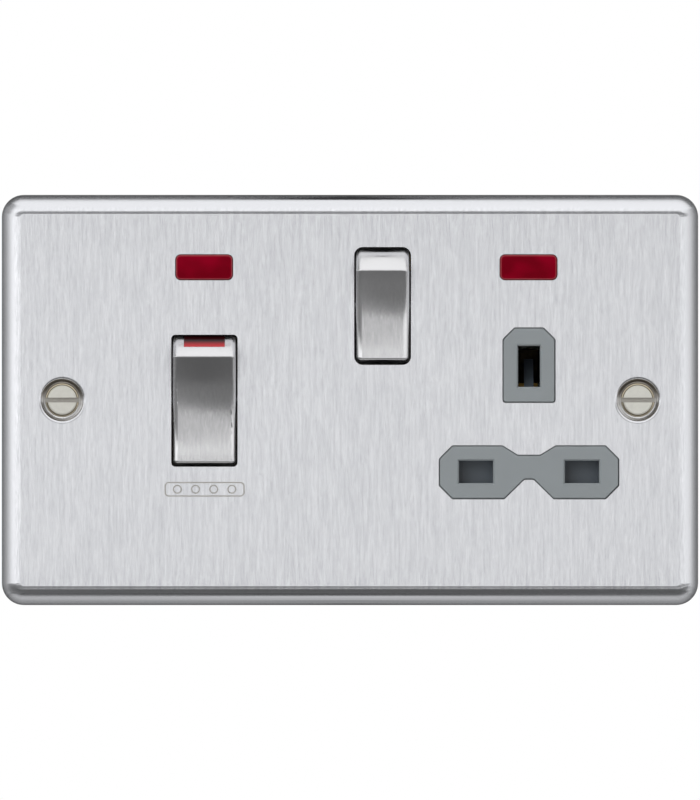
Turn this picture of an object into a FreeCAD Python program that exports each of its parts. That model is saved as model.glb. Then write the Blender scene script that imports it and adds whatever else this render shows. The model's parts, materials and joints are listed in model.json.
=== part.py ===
import FreeCAD, Part
import Sketcher
import math
import os
import re

# Cooker control unit: a double-pole cooker switch and a switched socket behind one brushed plate.
# The front faces -Y, +X is to the right and +Z is up. The origin is the centre of the plate's rear rim,
# which is the wall plane: the plate stands in front of it and the moulded base goes back into the box.
# All sizes are in millimetres and degrees.

SIZES = {
    # pressed front plate
    "plate_width": 146.0,
    "plate_height": 86.0,
    "plate_depth": 4.5,
    "plate_thickness": 0.8,
    "plate_corner_radius": 4.6,
    "plate_rim_radius": 4.0,
    # fixings and their pressed dimples
    "fixing_spacing": 120.6,
    "fixing_radius": 1.75,
    "fixing_neck_radius": 1.55,
    "fixing_length": 22.0,
    "fixing_hole_radius": 2.1,
    "fixing_head_radius": 3.575,
    "fixing_head_height": 1.05,
    "fixing_slot_width": 1.0,
    "fixing_slot_depth": 0.55,
    "fixing_shoulder_radius": 0.45,
    "fixing_ledge": 0.17,
    "fixing_disc_height": 0.15,
    "fixing_disc_draft": 0.08,
    "dimple_radius": 4.6,
    "dimple_floor_radius": 3.85,
    "dimple_depth": 1.0,
    "dimple_margin": 0.6,
    "dimple_lip_radius": 0.7,
    # cooker switch
    "cooker_x": -30.5,
    "cooker_z": -0.15,
    "cooker_opening_width": 13.9,
    "cooker_opening_height": 27.65,
    "cooker_opening_radius": 0.9,
    "cooker_ridge_angle": 47.6,
    "cooker_edge_radius": 1.1,
    "pole_spacing": 7.2,
    "cooker_arm_width": 5.0,
    "cooker_contact_radius": 13.0,
    # socket switch
    "switch_x": 6.83,
    "switch_z": 19.7,
    "switch_opening_width": 11.9,
    "switch_opening_height": 24.7,
    "switch_opening_radius": 1.8,
    "switch_ridge_angle": 42.4,
    "switch_edge_radius": 1.3,
    "switch_arm_width": 4.0,
    "switch_contact_radius": 9.5,
    # rockers
    "pivot_depth": 8.0,
    "rocker_tilt": 10.0,
    "rocker_side_gap": 0.35,
    "rocker_edge_gap": 0.28,
    "rocker_dish_radius": 50.0,
    "rocker_skirt_angle": 82.0,
    "rocker_wall": 1.5,
    "rocker_face_wall": 1.9,
    "rocker_shoulder_depth": 1.5,
    "rocker_shoulder_height": 6.2,
    "rocker_tail_depth": 8.5,
    "rocker_tail_height": 3.4,
    "rocker_ridge_radius": 0.5,
    "rocker_hollow_angle": 6.0,
    "rocker_hollow_rise": 0.5,
    "rocker_shoulder_wall": 1.2,
    "rocker_tail_wall": 0.6,
    "rocker_swing_gap": 0.5,
    "rocker_window_gap": 0.05,
    "flag_width": 8.5,
    "flag_thickness": 0.6,
    "flag_low_angle": 57.6,
    "flag_high_angle": 75.0,
    "flag_gap": 0.05,
    "flag_gap_angle": 0.2,
    "pin_radius": 1.2,
    "pin_running_gap": 0.05,
    "pin_seat_gap": 0.01,
    "pin_chamfer": 0.2,
    "cheek_gap": 0.4,
    "cheek_wall": 1.8,
    "cheek_height": 7.0,
    "cheek_behind": 4.2,
    # plungers and see-saw contact arms
    "plunger_radius": 1.8,
    "plunger_gap": 0.05,
    "plunger_reach": 10.4,
    "plunger_length": 5.2,
    "plunger_bore_floor": 2.2,
    "plunger_spring_wire": 0.4,
    "plunger_spring_gap": 0.15,
    "plunger_spring_turns": 4,
    "spring_end_gap": 0.05,
    "arm_tilt": 6.0,
    "arm_thickness": 1.2,
    "arm_mid_gap": 0.08,
    "arm_tail": 7.0,
    "arm_end": 0.4,
    "arm_knuckle_radius": 1.0,
    "arm_knuckle_gap": 0.06,
    "contact_radius": 1.6,
    "contact_thickness": 0.8,
    "contact_gap": 0.4,
    "saddle_front": 0.35,
    "saddle_height": 2.0,
    "strip_offset": 3.2,
    "strip_thickness": 1.2,
    "strip_width": 4.0,
    "strip_end": 0.6,
    # moulded base and rear cover
    "flange_thickness": 1.8,
    "flange_inset": 0.3,
    "flange_corner_radius": 3.0,
    "base_left": 47.5,
    "base_right": 61.0,
    "base_inset": 7.0,
    "base_wall": 1.8,
    "base_corner_radius": 2.0,
    "notch_x": 53.5,
    "notch_half_height": 7.2,
    "cover_y": 22.0,
    "cover_thickness": 2.0,
    "partition_x": -12.1,
    "ledge_depth": 1.5,
    "ledge_width": 1.6,
    "boss_size": 5.6,
    "boss_corner_radius": 1.0,
    "rib_width": 2.0,
    "rib_length": 5.0,
    "low_rib_z": -12.0,
    "high_rib_gap": 3.0,
    "live_rib_z": 6.0,
    "earth_rib_z": -5.0,
    "neutral_rib_length": 3.0,
    "barrier_thickness": 1.0,
    "barrier_half_height": 16.0,
    "barrier_reach": 2.0,
    "cover_edge": 0.5,
    "driver_gap": 0.5,
    "cover_hole_gap": 0.3,
    "cover_screw_radius": 1.25,
    "cover_screw_length": 9.0,
    "cover_screw_head_radius": 2.4,
    "cover_screw_head_height": 1.4,
    "cover_screw_crown": 0.5,
    "cover_screw_seat_gap": 0.02,
    "cover_screw_end_gap": 0.5,
    "screw_point": 0.5,
    "driver_slot_width": 0.8,
    "driver_slot_depth": 0.7,
    "cover_boss_left_x": -42.9,
    "cover_boss_left_z": 14.0,
    "cover_boss_right_x": 56.2,
    "cover_boss_inset": 8.0,
    # terminals
    "terminal_spacing": 17.0,
    "terminal_width": 9.0,
    "terminal_front": 9.6,
    "terminal_depth": 11.0,
    "terminal_length": 9.0,
    "terminal_wall_gap": 1.7,
    "terminal_bore_radius": 3.0,
    "terminal_bore_offset": 4.0,
    "terminal_screw_radius": 1.95,
    "terminal_screw_hole_radius": 2.05,
    "terminal_screw_head_radius": 3.0,
    "terminal_screw_head_height": 1.7,
    "terminal_screw_stand": 0.3,
    "terminal_screw_edge": 0.3,
    "cable_window_margin": 4.0,
    "shelf_thickness": 1.6,
    "shelf_margin": 1.0,
    "link_gap_margin": 3.0,
    "link_gap_depth": 0.6,
    "strap_gap": 0.3,
    "earth_bore_radius": 2.6,
    "earth_bore_spacing": 13.0,
    "earth_block_width": 22.0,
    # socket insert and pin ways
    "insert_gap": 0.22,
    "insert_proud": 0.05,
    "insert_rim": 1.5,
    "insert_window_step": 0.6,
    "island_corner_radius": 0.45,
    "island_edge_radius": 0.2,
    "slot_lead_in": 0.3,
    "pin_way_x": 37.5,
    "earth_z": 7.05,
    "earth_slot_width": 4.6,
    "earth_slot_height": 8.6,
    "earth_island_width": 10.7,
    "earth_island_top": 15.0,
    "earth_island_bottom": -0.4,
    "earth_island_chamfer": 2.35,
    "line_spacing": 22.2,
    "line_z": -15.06,
    "line_slot_width": 7.16,
    "line_slot_height": 4.73,
    "line_island_width": 37.4,
    "line_island_top": -9.7,
    "line_island_bottom": -20.6,
    "line_island_chamfer": 2.7,
    "neck_half_width": 5.55,
    "neck_floor_half_width": 2.36,
    "neck_depth": 1.97,
    "foot_half_width": 5.15,
    "foot_floor_half_width": 0.97,
    "foot_depth": 4.1,
    "collar_wall": 1.0,
    "collar_depth": 1.6,
    # shutter
    "shutter_front": 0.0,
    "shutter_thickness": 2.2,
    "shutter_overlap": 0.5,
    "shutter_travel": 5.8,
    "shutter_stem_width": 4.6,
    "shutter_foot": 0.7,
    "cam_width": 1.95,
    "cam_front_z": 2.6,
    "cam_rise": 6.0,
    "cam_thickness": 2.4,
    "cam_root": 2.0,
    "shutter_guide_gap": 0.3,
    "spring_radius": 1.3,
    "spring_wire": 0.35,
    "spring_turns": 6,
    "spring_closed_length": 5.275,
    "spring_post_width": 6.0,
    "spring_post_thickness": 1.6,
    # socket contacts
    "clip_sheet": 0.8,
    "clip_mouth_y": 4.8,
    "clip_pinch_y": 7.4,
    "clip_belly_y": 10.0,
    "clip_pinch": 1.9,
    "clip_belly": 3.2,
    "clip_mouth": 2.9,
    "line_clip_width": 6.4,
    "earth_clip_width": 7.0,
    "neutral_strip_thickness": 1.0,
    "neutral_strip_z": -19.5,
    # neon indicators
    "cooker_neon_x": -30.55,
    "socket_neon_x": 37.4,
    "neon_z": 27.8,
    "lens_width": 11.8,
    "lens_height": 5.1,
    "lens_corner_radius": 1.0,
    "lens_gap": 0.18,
    "lens_proud": 0.3,
    "lens_rim": 1.0,
    "lens_rim_thickness": 1.2,
    "lens_well_back": 2.3,
    "lens_wall": 0.9,
    "lens_edge_radius": 0.28,
    "lamp_radius": 2.0,
    "lamp_length": 9.0,
    "lamp_gap": 0.3,
    "lamp_foot_radius": 1.2,
    "lamp_foot_length": 1.0,
    "resistor_radius": 1.1,
    "resistor_length": 6.5,
    "resistor_edge": 0.44,
}

TOLERANCE = 1e-6
CUT_MARGIN = "1"
BEVEL_GROWTH = "(2 - sqrt(2))"

doc = FreeCAD.newDocument("CookerControlUnit")
sheet = doc.addObject("Spreadsheet::Sheet", "Sizes")
for row, (alias, number) in enumerate(SIZES.items(), start=1):
    sheet.set(f"A{row}", alias)
    sheet.set(f"B{row}", str(number))
    sheet.setAlias(f"B{row}", alias)
doc.recompute()

nodes = []


# Expressions, sketches and features

def linked(expression):
    """The expression with each size read from the sheet."""
    return re.sub(r"[a-z_]+", lambda word: "Sizes." + word[0] if word[0] in SIZES else word[0], expression)


def value(expression):
    return float(sheet.evalExpression(linked(expression)))


def bind(target, path, expression):
    target.setExpression(path, linked(expression))


def new_body(label):
    body = doc.addObject("PartDesign::Body", label)
    body.Label = label
    nodes.append(body)
    return body


def new_sketch(body, name, view, level):
    """A sketch seen from the front (X, Z), side (Y, Z) or above (X, Y), at a level along the third axis."""
    role = {"front": "XZ_Plane", "side": "YZ_Plane", "plan": "XY_Plane"}[view]
    plane = [feature for feature in body.Origin.OriginFeatures if feature.Role == role][0]
    sketch = body.newObject("Sketcher::SketchObject", f"{body.Name}_{name}")
    sketch.AttachmentSupport = [(plane, "")]
    sketch.MapMode = "FlatFace"
    bind(sketch, "AttachmentOffset.Base.z", f"-({level})" if view == "front" else level)
    return sketch


def fix_point(sketch, edge, end, x, y):
    for kind, expression in (("DistanceX", x), ("DistanceY", y)):
        number = sketch.addConstraint(Sketcher.Constraint(kind, -1, 1, edge, end, value(expression)))
        bind(sketch, f"Constraints[{number}]", expression)


def fix_radius(sketch, edge, expression):
    number = sketch.addConstraint(Sketcher.Constraint("Radius", edge, abs(value(expression))))
    bind(sketch, f"Constraints[{number}]", f"abs({expression})")


def arc_between(start, end, radius):
    """The arc from start to end: its centre lies on the left for a positive radius, else on the right."""
    chord = end - start
    rise = math.sqrt(max(radius * radius - chord.Length ** 2 / 4, 0.0)) * math.copysign(1.0, radius)
    left = FreeCAD.Vector(-chord.y, chord.x, 0).normalize()
    centre = (start + end) / 2 + left * rise
    first, last = (start, end) if radius > 0 else (end, start)
    circle = Part.Circle(centre, FreeCAD.Vector(0, 0, 1), abs(radius))
    begin = math.atan2(first.y - centre.y, first.x - centre.x)
    finish = math.atan2(last.y - centre.y, last.x - centre.x)
    return Part.ArcOfCircle(circle, begin, finish)


def draw(sketch, outline):
    """Draws a closed outline of corners (x, y), or (x, y, radius) where an arc leads to the next corner."""
    if outline[0] == "circle":
        x, y, radius = outline[1:]
        centre = FreeCAD.Vector(value(x), value(y), 0)
        edge = sketch.addGeometry(Part.Circle(centre, FreeCAD.Vector(0, 0, 1), value(radius)))
        fix_point(sketch, edge, 3, x, y)
        fix_radius(sketch, edge, radius)
        return
    points = [FreeCAD.Vector(value(corner[0]), value(corner[1]), 0) for corner in outline]
    ends = []
    for index, corner in enumerate(outline):
        start, end = points[index], points[(index + 1) % len(points)]
        radius = value(corner[2]) if len(corner) == 3 else None
        curve = Part.LineSegment(start, end) if radius is None else arc_between(start, end, radius)
        edge = sketch.addGeometry(curve)
        ends.append((edge, 1, 2) if radius is None or radius > 0 else (edge, 2, 1))
    for index, (edge, begin, finish) in enumerate(ends):
        after = ends[(index + 1) % len(ends)]
        sketch.addConstraint(Sketcher.Constraint("Coincident", edge, finish, after[0], after[1]))
        fix_point(sketch, edge, begin, outline[index][0], outline[index][1])
        if len(outline[index]) == 3:
            fix_radius(sketch, edge, outline[index][2])


def extrude(kind, body, name, view, low, high, outlines):
    sketch = new_sketch(body, name, view, low)
    for outline in outlines:
        draw(sketch, outline)
    feature = body.newObject(kind, f"{sketch.Name}_solid")
    feature.Profile = sketch
    bind(feature, "Length", f"({high}) - ({low})")
    feature.Reversed = (view == "front") == (kind == "PartDesign::Pad")
    sketch.Visibility = False
    return feature


def add(body, name, view, low, high, *outlines):
    """Pads the outlines from the low level to the high one, and fuses them with the body."""
    feature = extrude("PartDesign::Pad", body, name, view, low, high, outlines)
    doc.recompute()
    return feature


def cut(body, name, view, low, high, *outlines):
    """Cuts the outlines out of the body from the low level to the high one."""
    before = body.Shape.Volume
    feature = extrude("PartDesign::Pocket", body, name, view, low, high, outlines)
    doc.recompute()
    if not body.Shape.Volume < before:
        raise ValueError(f"{feature.Name} cuts nothing")
    return feature


def turn(kind, body, name, outline):
    """Revolves a side-view outline (distance along Y, radius) about the body's own Y axis."""
    sketch = new_sketch(body, name, "side", "0")
    draw(sketch, outline)
    feature = body.newObject(kind, f"{sketch.Name}_turned")
    feature.Profile = sketch
    feature.ReferenceAxis = (sketch, ["H_Axis"])
    feature.Angle = 360.0
    sketch.Visibility = False
    doc.recompute()
    return feature


def round_edges(body, name, radius, chosen, kind="Fillet"):
    """Rounds (or chamfers) the edges of the body's tip that the test picks."""
    base = body.Tip
    names = [f"Edge{index}" for index, edge in enumerate(base.Shape.Edges, start=1) if chosen(edge)]
    feature = body.newObject(f"PartDesign::{kind}", f"{body.Name}_{name}")
    feature.Base = (base, names)
    bind(feature, "Radius" if kind == "Fillet" else "Size", radius)
    doc.recompute()
    return feature


def place(body, x, y, z, tilt=None):
    """Puts the body's own origin at a point, turned about X where a tilt is given."""
    if tilt:
        turned = FreeCAD.Rotation(FreeCAD.Vector(1, 0, 0), value(tilt))
        body.Placement = FreeCAD.Placement(FreeCAD.Vector(), turned)
        bind(body, "Placement.Rotation.Angle", tilt)
    for axis, expression in (("x", x), ("y", y), ("z", z)):
        bind(body, f"Placement.Base.{axis}", expression)
    doc.recompute()


def shape_node(label, shape):
    feature = doc.addObject("Part::Feature", label)
    feature.Label = label
    feature.Shape = shape
    nodes.append(feature)
    return feature


def copies(label, master, spots):
    """One node of like solids: the master's shape at each spot. The master itself isn't written."""
    nodes.remove(master)
    shapes = []
    for spot in spots:
        shape = master.Shape.copy()
        shape.translate(FreeCAD.Vector(*[value(number) for number in spot]))
        shapes.append(shape)
    return shape_node(label, Part.makeCompound(shapes))


# Outlines

def box(left, right, low, high):
    return [(left, low), (right, low), (right, high), (left, high)]


def centred(x, y, width, height, radius=None):
    """A rectangle about its centre, with rounded corners where a radius is given."""
    left, right = f"({x}) - ({width}) / 2", f"({x}) + ({width}) / 2"
    low, high = f"({y}) - ({height}) / 2", f"({y}) + ({height}) / 2"
    if radius is None:
        return box(left, right, low, high)
    r = f"({radius})"
    return [
        (f"{left} + {r}", low), (f"{right} - {r}", low, r),
        (right, f"{low} + {r}"), (right, f"{high} - {r}", r),
        (f"{right} - {r}", high), (f"{left} + {r}", high, r),
        (left, f"{high} - {r}"), (left, f"{low} + {r}", r),
    ]


def circle(x, y, radius):
    return ("circle", x, y, radius)


def polar(radius, angle):
    """A side-view point about the pivot: the angle is measured from straight ahead, upwards."""
    return f"-({radius}) * cos({angle})", f"({radius}) * sin({angle})"


def sector(inside, outside, low, high):
    """A band of a ring about the pivot, between two angles."""
    return [
        (*polar(inside, low), f"-({inside})"), polar(inside, high),
        (*polar(outside, high), outside), polar(outside, low),
    ]


# Levels and places that several pieces share

FRONT = "(-plate_depth)"
SHEET_BACK = "(plate_thickness - plate_depth)"
DECK = f"({SHEET_BACK} + flange_thickness)"
PIVOT_Y = "(pivot_depth - plate_depth)"
ARM_FACE_Y = f"({PIVOT_Y} + plunger_reach + arm_mid_gap)"
FULCRUM_Y = f"({ARM_FACE_Y} + arm_thickness)"
STRIP_Y = f"({FULCRUM_Y} + strip_offset)"
STRIP_BACK = f"({STRIP_Y} + strip_thickness)"
COVER_BACK = "(cover_y + cover_thickness)"
TERMINAL_BACK = "(terminal_front + terminal_depth)"
BORE_Y = "(terminal_front + terminal_bore_offset)"
BASE_HALF_HEIGHT = "(plate_height / 2 - base_inset)"
TERMINAL_END = f"({BASE_HALF_HEIGHT} - base_wall - terminal_wall_gap)"
TERMINAL_START = f"({TERMINAL_END} - terminal_length)"
TERMINAL_Z = f"({TERMINAL_END} - terminal_length / 2)"
COLLAR_BACK = f"({DECK} + collar_depth)"
SHUTTER_BACK = "(shutter_front + shutter_thickness)"
LINE_X = "(pin_way_x + line_spacing / 2)"
NEUTRAL_X = "(pin_way_x - line_spacing / 2)"
CLIP_HALF = "(clip_belly + clip_sheet)"


class Switch:
    """The sizes that one rocker switch's pieces share."""

    def __init__(self, prefix):
        self.x = f"{prefix}_x"
        self.z = f"{prefix}_z"
        self.width = f"{prefix}_opening_width"
        self.height = f"{prefix}_opening_height"
        self.corner = f"{prefix}_opening_radius"
        self.ridge = f"{prefix}_ridge_angle"
        self.edge_radius = f"{prefix}_edge_radius"
        self.arm_width = f"{prefix}_arm_width"
        self.contact = f"{prefix}_contact_radius"
        rim = f"sqrt((pivot_depth - plate_thickness)^2 + ({self.height} / 2)^2)"
        self.reach = f"({rim} - rocker_edge_gap)"
        self.rocker_width = f"({self.width} - 2 * rocker_side_gap)"
        self.cheek = f"({self.rocker_width} / 2 + cheek_gap)"


COOKER = Switch("cooker")
SOCKET = Switch("switch")
POLES = {
    "neutral": f"({COOKER.x} - pole_spacing / 2)",
    "live": f"({COOKER.x} + pole_spacing / 2)",
}
TERMINALS = {
    "neutral": f"({COOKER.x} - terminal_spacing / 2)",
    "live": f"({COOKER.x} + terminal_spacing / 2)",
}
STRAP_X = "(pin_way_x + earth_bore_spacing / 2)"
EARTH_BORES = [f"(pin_way_x {sign} earth_bore_spacing / 2)" for sign in "-+"]


# Front plate: one pressed sheet with a rolled rim, punched for the rockers, lamps and pin ways

def line_island(gap):
    """The live and neutral island, grown by the gap."""
    left = f"pin_way_x - line_island_width / 2 - ({gap})"
    right = f"pin_way_x + line_island_width / 2 + ({gap})"
    top, bottom = f"line_island_top + ({gap})", f"line_island_bottom - ({gap})"
    bevel = f"(line_island_chamfer + {BEVEL_GROWTH} * ({gap}))"
    return [
        (left, f"{bottom} + {bevel}"), (f"{left} + {bevel}", bottom),
        ("pin_way_x - foot_half_width", bottom),
        ("pin_way_x - foot_floor_half_width", f"{bottom} + foot_depth"),
        ("pin_way_x + foot_floor_half_width", f"{bottom} + foot_depth"),
        ("pin_way_x + foot_half_width", bottom),
        (f"{right} - {bevel}", bottom), (right, f"{bottom} + {bevel}"),
        (right, f"{top} - {bevel}"), (f"{right} - {bevel}", top),
        ("pin_way_x + neck_half_width", top),
        ("pin_way_x + neck_floor_half_width", f"{top} - neck_depth"),
        ("pin_way_x - neck_floor_half_width", f"{top} - neck_depth"),
        ("pin_way_x - neck_half_width", top),
        (f"{left} + {bevel}", top), (left, f"{top} - {bevel}"),
    ]


def earth_island(gap):
    """The earth island with its two upper corners cut off, grown by the gap."""
    left = f"pin_way_x - earth_island_width / 2 - ({gap})"
    right = f"pin_way_x + earth_island_width / 2 + ({gap})"
    top, bottom = f"earth_island_top + ({gap})", f"earth_island_bottom - ({gap})"
    bevel = f"(earth_island_chamfer + {BEVEL_GROWTH} * ({gap}))"
    return [
        (left, bottom), (right, bottom), (right, f"{top} - {bevel}"),
        (f"{right} - {bevel}", top), (f"{left} + {bevel}", top), (left, f"{top} - {bevel}"),
    ]


def at_island_corner(edge):
    """Whether an edge runs front to back at a corner of one of the socket's islands or their openings."""
    left = value("pin_way_x - line_island_width / 2 - insert_gap")
    right = value("pin_way_x + line_island_width / 2 + insert_gap")
    spot = edge.BoundBox
    return (spot.XLength + spot.ZLength < TOLERANCE and spot.YLength > TOLERANCE
            and left - TOLERANCE < spot.XMin < right + TOLERANCE
            and spot.ZMax < value("earth_island_top + insert_gap") + TOLERANCE)


def lens_outline(x, grow):
    return centred(x, "neon_z", f"lens_width + 2 * ({grow})", f"lens_height + 2 * ({grow})",
                   f"lens_corner_radius + ({grow})")


def opening_outline(switch):
    return centred(switch.x, switch.z, switch.width, switch.height, switch.corner)


def make_face_plate():
    body = new_body("face_plate")
    add(body, "blank", "front", FRONT, "0", centred("0", "0", "plate_width", "plate_height"))
    round_edges(body, "corners", "plate_corner_radius",
                lambda edge: abs(edge.BoundBox.YLength - value("plate_depth")) < TOLERANCE)
    round_edges(body, "rolled_rim", "plate_rim_radius",
                lambda edge: edge.BoundBox.YMax < value(FRONT) + TOLERANCE)
    base = body.Tip
    rear = [f"Face{index}" for index, face in enumerate(base.Shape.Faces, start=1)
            if abs(face.BoundBox.YMin) < TOLERANCE and face.BoundBox.YLength < TOLERANCE]
    shell = body.newObject("PartDesign::Thickness", "face_plate_shell")
    shell.Base = (base, rear)
    bind(shell, "Value", "plate_thickness")
    shell.Reversed = True
    doc.recompute()
    spots = [f"({sign}fixing_spacing / 2)" for sign in "-+"]
    for side, x in zip(("left", "right"), spots):
        add(body, f"{side}_dimple", "front", SHEET_BACK, f"{SHEET_BACK} + dimple_depth",
            circle(x, "0", "dimple_radius"))
        recess = cut(body, f"{side}_recess", "front", FRONT, f"{FRONT} + dimple_depth",
                     circle(x, "0", "dimple_radius"))
        bind(recess, "TaperAngle", "-atan((dimple_radius - dimple_floor_radius) / dimple_depth)")
        doc.recompute()
        cut(body, f"{side}_hole", "front", FRONT, "0", circle(x, "0", "fixing_hole_radius"))
    cut(body, "rocker_openings", "front", FRONT, "0", opening_outline(COOKER), opening_outline(SOCKET))
    cut(body, "lens_openings", "front", FRONT, "0",
        lens_outline("cooker_neon_x", "lens_gap"), lens_outline("socket_neon_x", "lens_gap"))
    cut(body, "insert_openings", "front", FRONT, "0", line_island("insert_gap"), earth_island("insert_gap"))
    round_edges(body, "opening_corners", "island_corner_radius + insert_gap", at_island_corner)
    round_edges(body, "dimple_lips", "dimple_lip_radius", lambda edge: (
        edge.BoundBox.YMax < value(FRONT) + TOLERANCE
        and abs(edge.BoundBox.ZLength - 2 * value("dimple_radius")) < TOLERANCE))


# Socket insert: two islands flush in the plate on one flange, with a collar behind each pin way

def slot_outlines(grow):
    line = [centred(x, "line_z", f"line_slot_width + 2 * ({grow})", f"line_slot_height + 2 * ({grow})")
            for x in (LINE_X, NEUTRAL_X)]
    earth = centred("pin_way_x", "earth_z", f"earth_slot_width + 2 * ({grow})",
                    f"earth_slot_height + 2 * ({grow})")
    return line + [earth]


def at_slot(edge):
    """Whether an edge lies in the islands' front, round one of the pin ways."""
    middle = edge.BoundBox.Center
    if edge.BoundBox.YMax > value(f"{FRONT} - insert_proud") + TOLERANCE:
        return False
    for x, z, width, height in (
            (LINE_X, "line_z", "line_slot_width", "line_slot_height"),
            (NEUTRAL_X, "line_z", "line_slot_width", "line_slot_height"),
            ("pin_way_x", "earth_z", "earth_slot_width", "earth_slot_height")):
        beside = abs(middle.x - value(x)) < value(width) / 2 + TOLERANCE
        if beside and abs(middle.z - value(z)) < value(height) / 2 + TOLERANCE:
            return True
    return False


def insert_flange(grow):
    """The T-shaped flange behind both islands."""
    half = f"(line_island_width / 2 + insert_rim + ({grow}))"
    stem = f"(earth_island_width / 2 + insert_rim + ({grow}))"
    low = f"line_island_bottom - insert_rim - ({grow})"
    step = f"line_island_top + insert_rim + ({grow})"
    high = f"earth_island_top + insert_rim + ({grow})"
    return [
        (f"pin_way_x - {half}", low), (f"pin_way_x + {half}", low), (f"pin_way_x + {half}", step),
        (f"pin_way_x + {stem}", step), (f"pin_way_x + {stem}", high), (f"pin_way_x - {stem}", high),
        (f"pin_way_x - {stem}", step), (f"pin_way_x - {half}", step),
    ]


SHUTTER_TOP = "(line_z + line_slot_height / 2 + shutter_overlap)"
SHUTTER_LOW = "(line_z - line_slot_height / 2 - shutter_foot)"
SHUTTER_HALF = "(line_spacing / 2 + line_slot_width / 2 + shutter_overlap)"
SPRING_POST_Z = f"({SHUTTER_LOW} - shutter_travel - spring_closed_length)"


def make_socket_insert():
    body = new_body("socket_insert")
    add(body, "flange", "front", SHEET_BACK, DECK, insert_flange("0"))
    add(body, "islands", "front", f"{FRONT} - insert_proud", SHEET_BACK, line_island("0"), earth_island("0"))
    round_edges(body, "island_corners", "island_corner_radius", lambda edge: (
        at_island_corner(edge) and edge.BoundBox.YMax < value(SHEET_BACK) + TOLERANCE))
    round_edges(body, "island_edges", "island_edge_radius", lambda edge: (
        edge.BoundBox.YMax < value(f"{FRONT} - insert_proud") + TOLERANCE))
    add(body, "collars", "front", DECK, COLLAR_BACK, *slot_outlines("collar_wall"))
    cut(body, "slots", "front", f"{FRONT} - insert_proud", COLLAR_BACK, *slot_outlines("0"))
    round_edges(body, "lead_ins", "slot_lead_in", at_slot, "Chamfer")
    for sign, side in (("-", "left"), ("+", "right")):
        near = f"pin_way_x {sign} ({SHUTTER_HALF} + shutter_guide_gap)"
        far = f"pin_way_x {sign} ({SHUTTER_HALF} + shutter_guide_gap + collar_wall)"
        edges = (far, near) if sign == "-" else (near, far)
        add(body, f"{side}_guide", "front", DECK, SHUTTER_BACK,
            box(*edges, "line_island_bottom", "line_island_top"))


# Neon lenses with their light wells, lamps and resistors

def make_lens(label, x):
    body = new_body(label)
    add(body, "window", "front", f"{FRONT} - lens_proud", "lens_well_back", lens_outline(x, "0"))
    add(body, "rim", "front", SHEET_BACK, f"{SHEET_BACK} + lens_rim_thickness", lens_outline(x, "lens_rim"))
    cut(body, "well", "front", f"{SHEET_BACK} + lens_rim_thickness / 2", "lens_well_back",
        centred(x, "neon_z", "lens_width - 2 * lens_wall", "lens_height - 2 * lens_wall"))
    front_y = value(f"{FRONT} - lens_proud")
    round_edges(body, "soft_edge", "lens_edge_radius",
                lambda edge: edge.BoundBox.YMax < front_y + TOLERANCE)


LAMP_Y = "(lens_well_back + lamp_gap + lamp_radius)"
RESISTOR_Z = "(neon_z - lamp_radius - lamp_gap - resistor_radius)"


def make_lamp(label, x):
    """A neon bulb: a glass tube on its side with a domed end and a sealed foot."""
    body = new_body(label)
    sketch = new_sketch(body, "glass", "plan", "neon_z")
    low, high = f"({x}) - lamp_length / 2", f"({x}) + lamp_length / 2"
    draw(sketch, [
        (low, LAMP_Y), (low, f"{LAMP_Y} + lamp_foot_radius"),
        (f"{low} + lamp_foot_length", f"{LAMP_Y} + lamp_radius"),
        (f"{high} - lamp_radius", f"{LAMP_Y} + lamp_radius", "-lamp_radius"), (high, LAMP_Y),
    ])
    axis = sketch.addGeometry(Part.LineSegment(FreeCAD.Vector(value(low), value(LAMP_Y), 0),
                                               FreeCAD.Vector(value(high), value(LAMP_Y), 0)), True)
    fix_point(sketch, axis, 1, low, LAMP_Y)
    fix_point(sketch, axis, 2, high, LAMP_Y)
    bulb = body.newObject("PartDesign::Revolution", f"{sketch.Name}_turned")
    bulb.Profile = sketch
    bulb.ReferenceAxis = (sketch, ["Axis0"])
    bulb.Angle = 360.0
    sketch.Visibility = False
    doc.recompute()


def make_resistors():
    body = new_body("resistor_master")
    add(body, "rod", "side", "-resistor_length / 2", "resistor_length / 2",
        circle(LAMP_Y, RESISTOR_Z, "resistor_radius"))
    round_edges(body, "ends", "resistor_edge", lambda edge: edge.BoundBox.XLength < TOLERANCE)
    copies("neon_resistors", body, [("cooker_neon_x", "0", "0"), ("socket_neon_x", "0", "0")])


# Rockers: an end-stopped cap on its pin, hollow behind its dished face, with a tail that holds plungers

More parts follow.
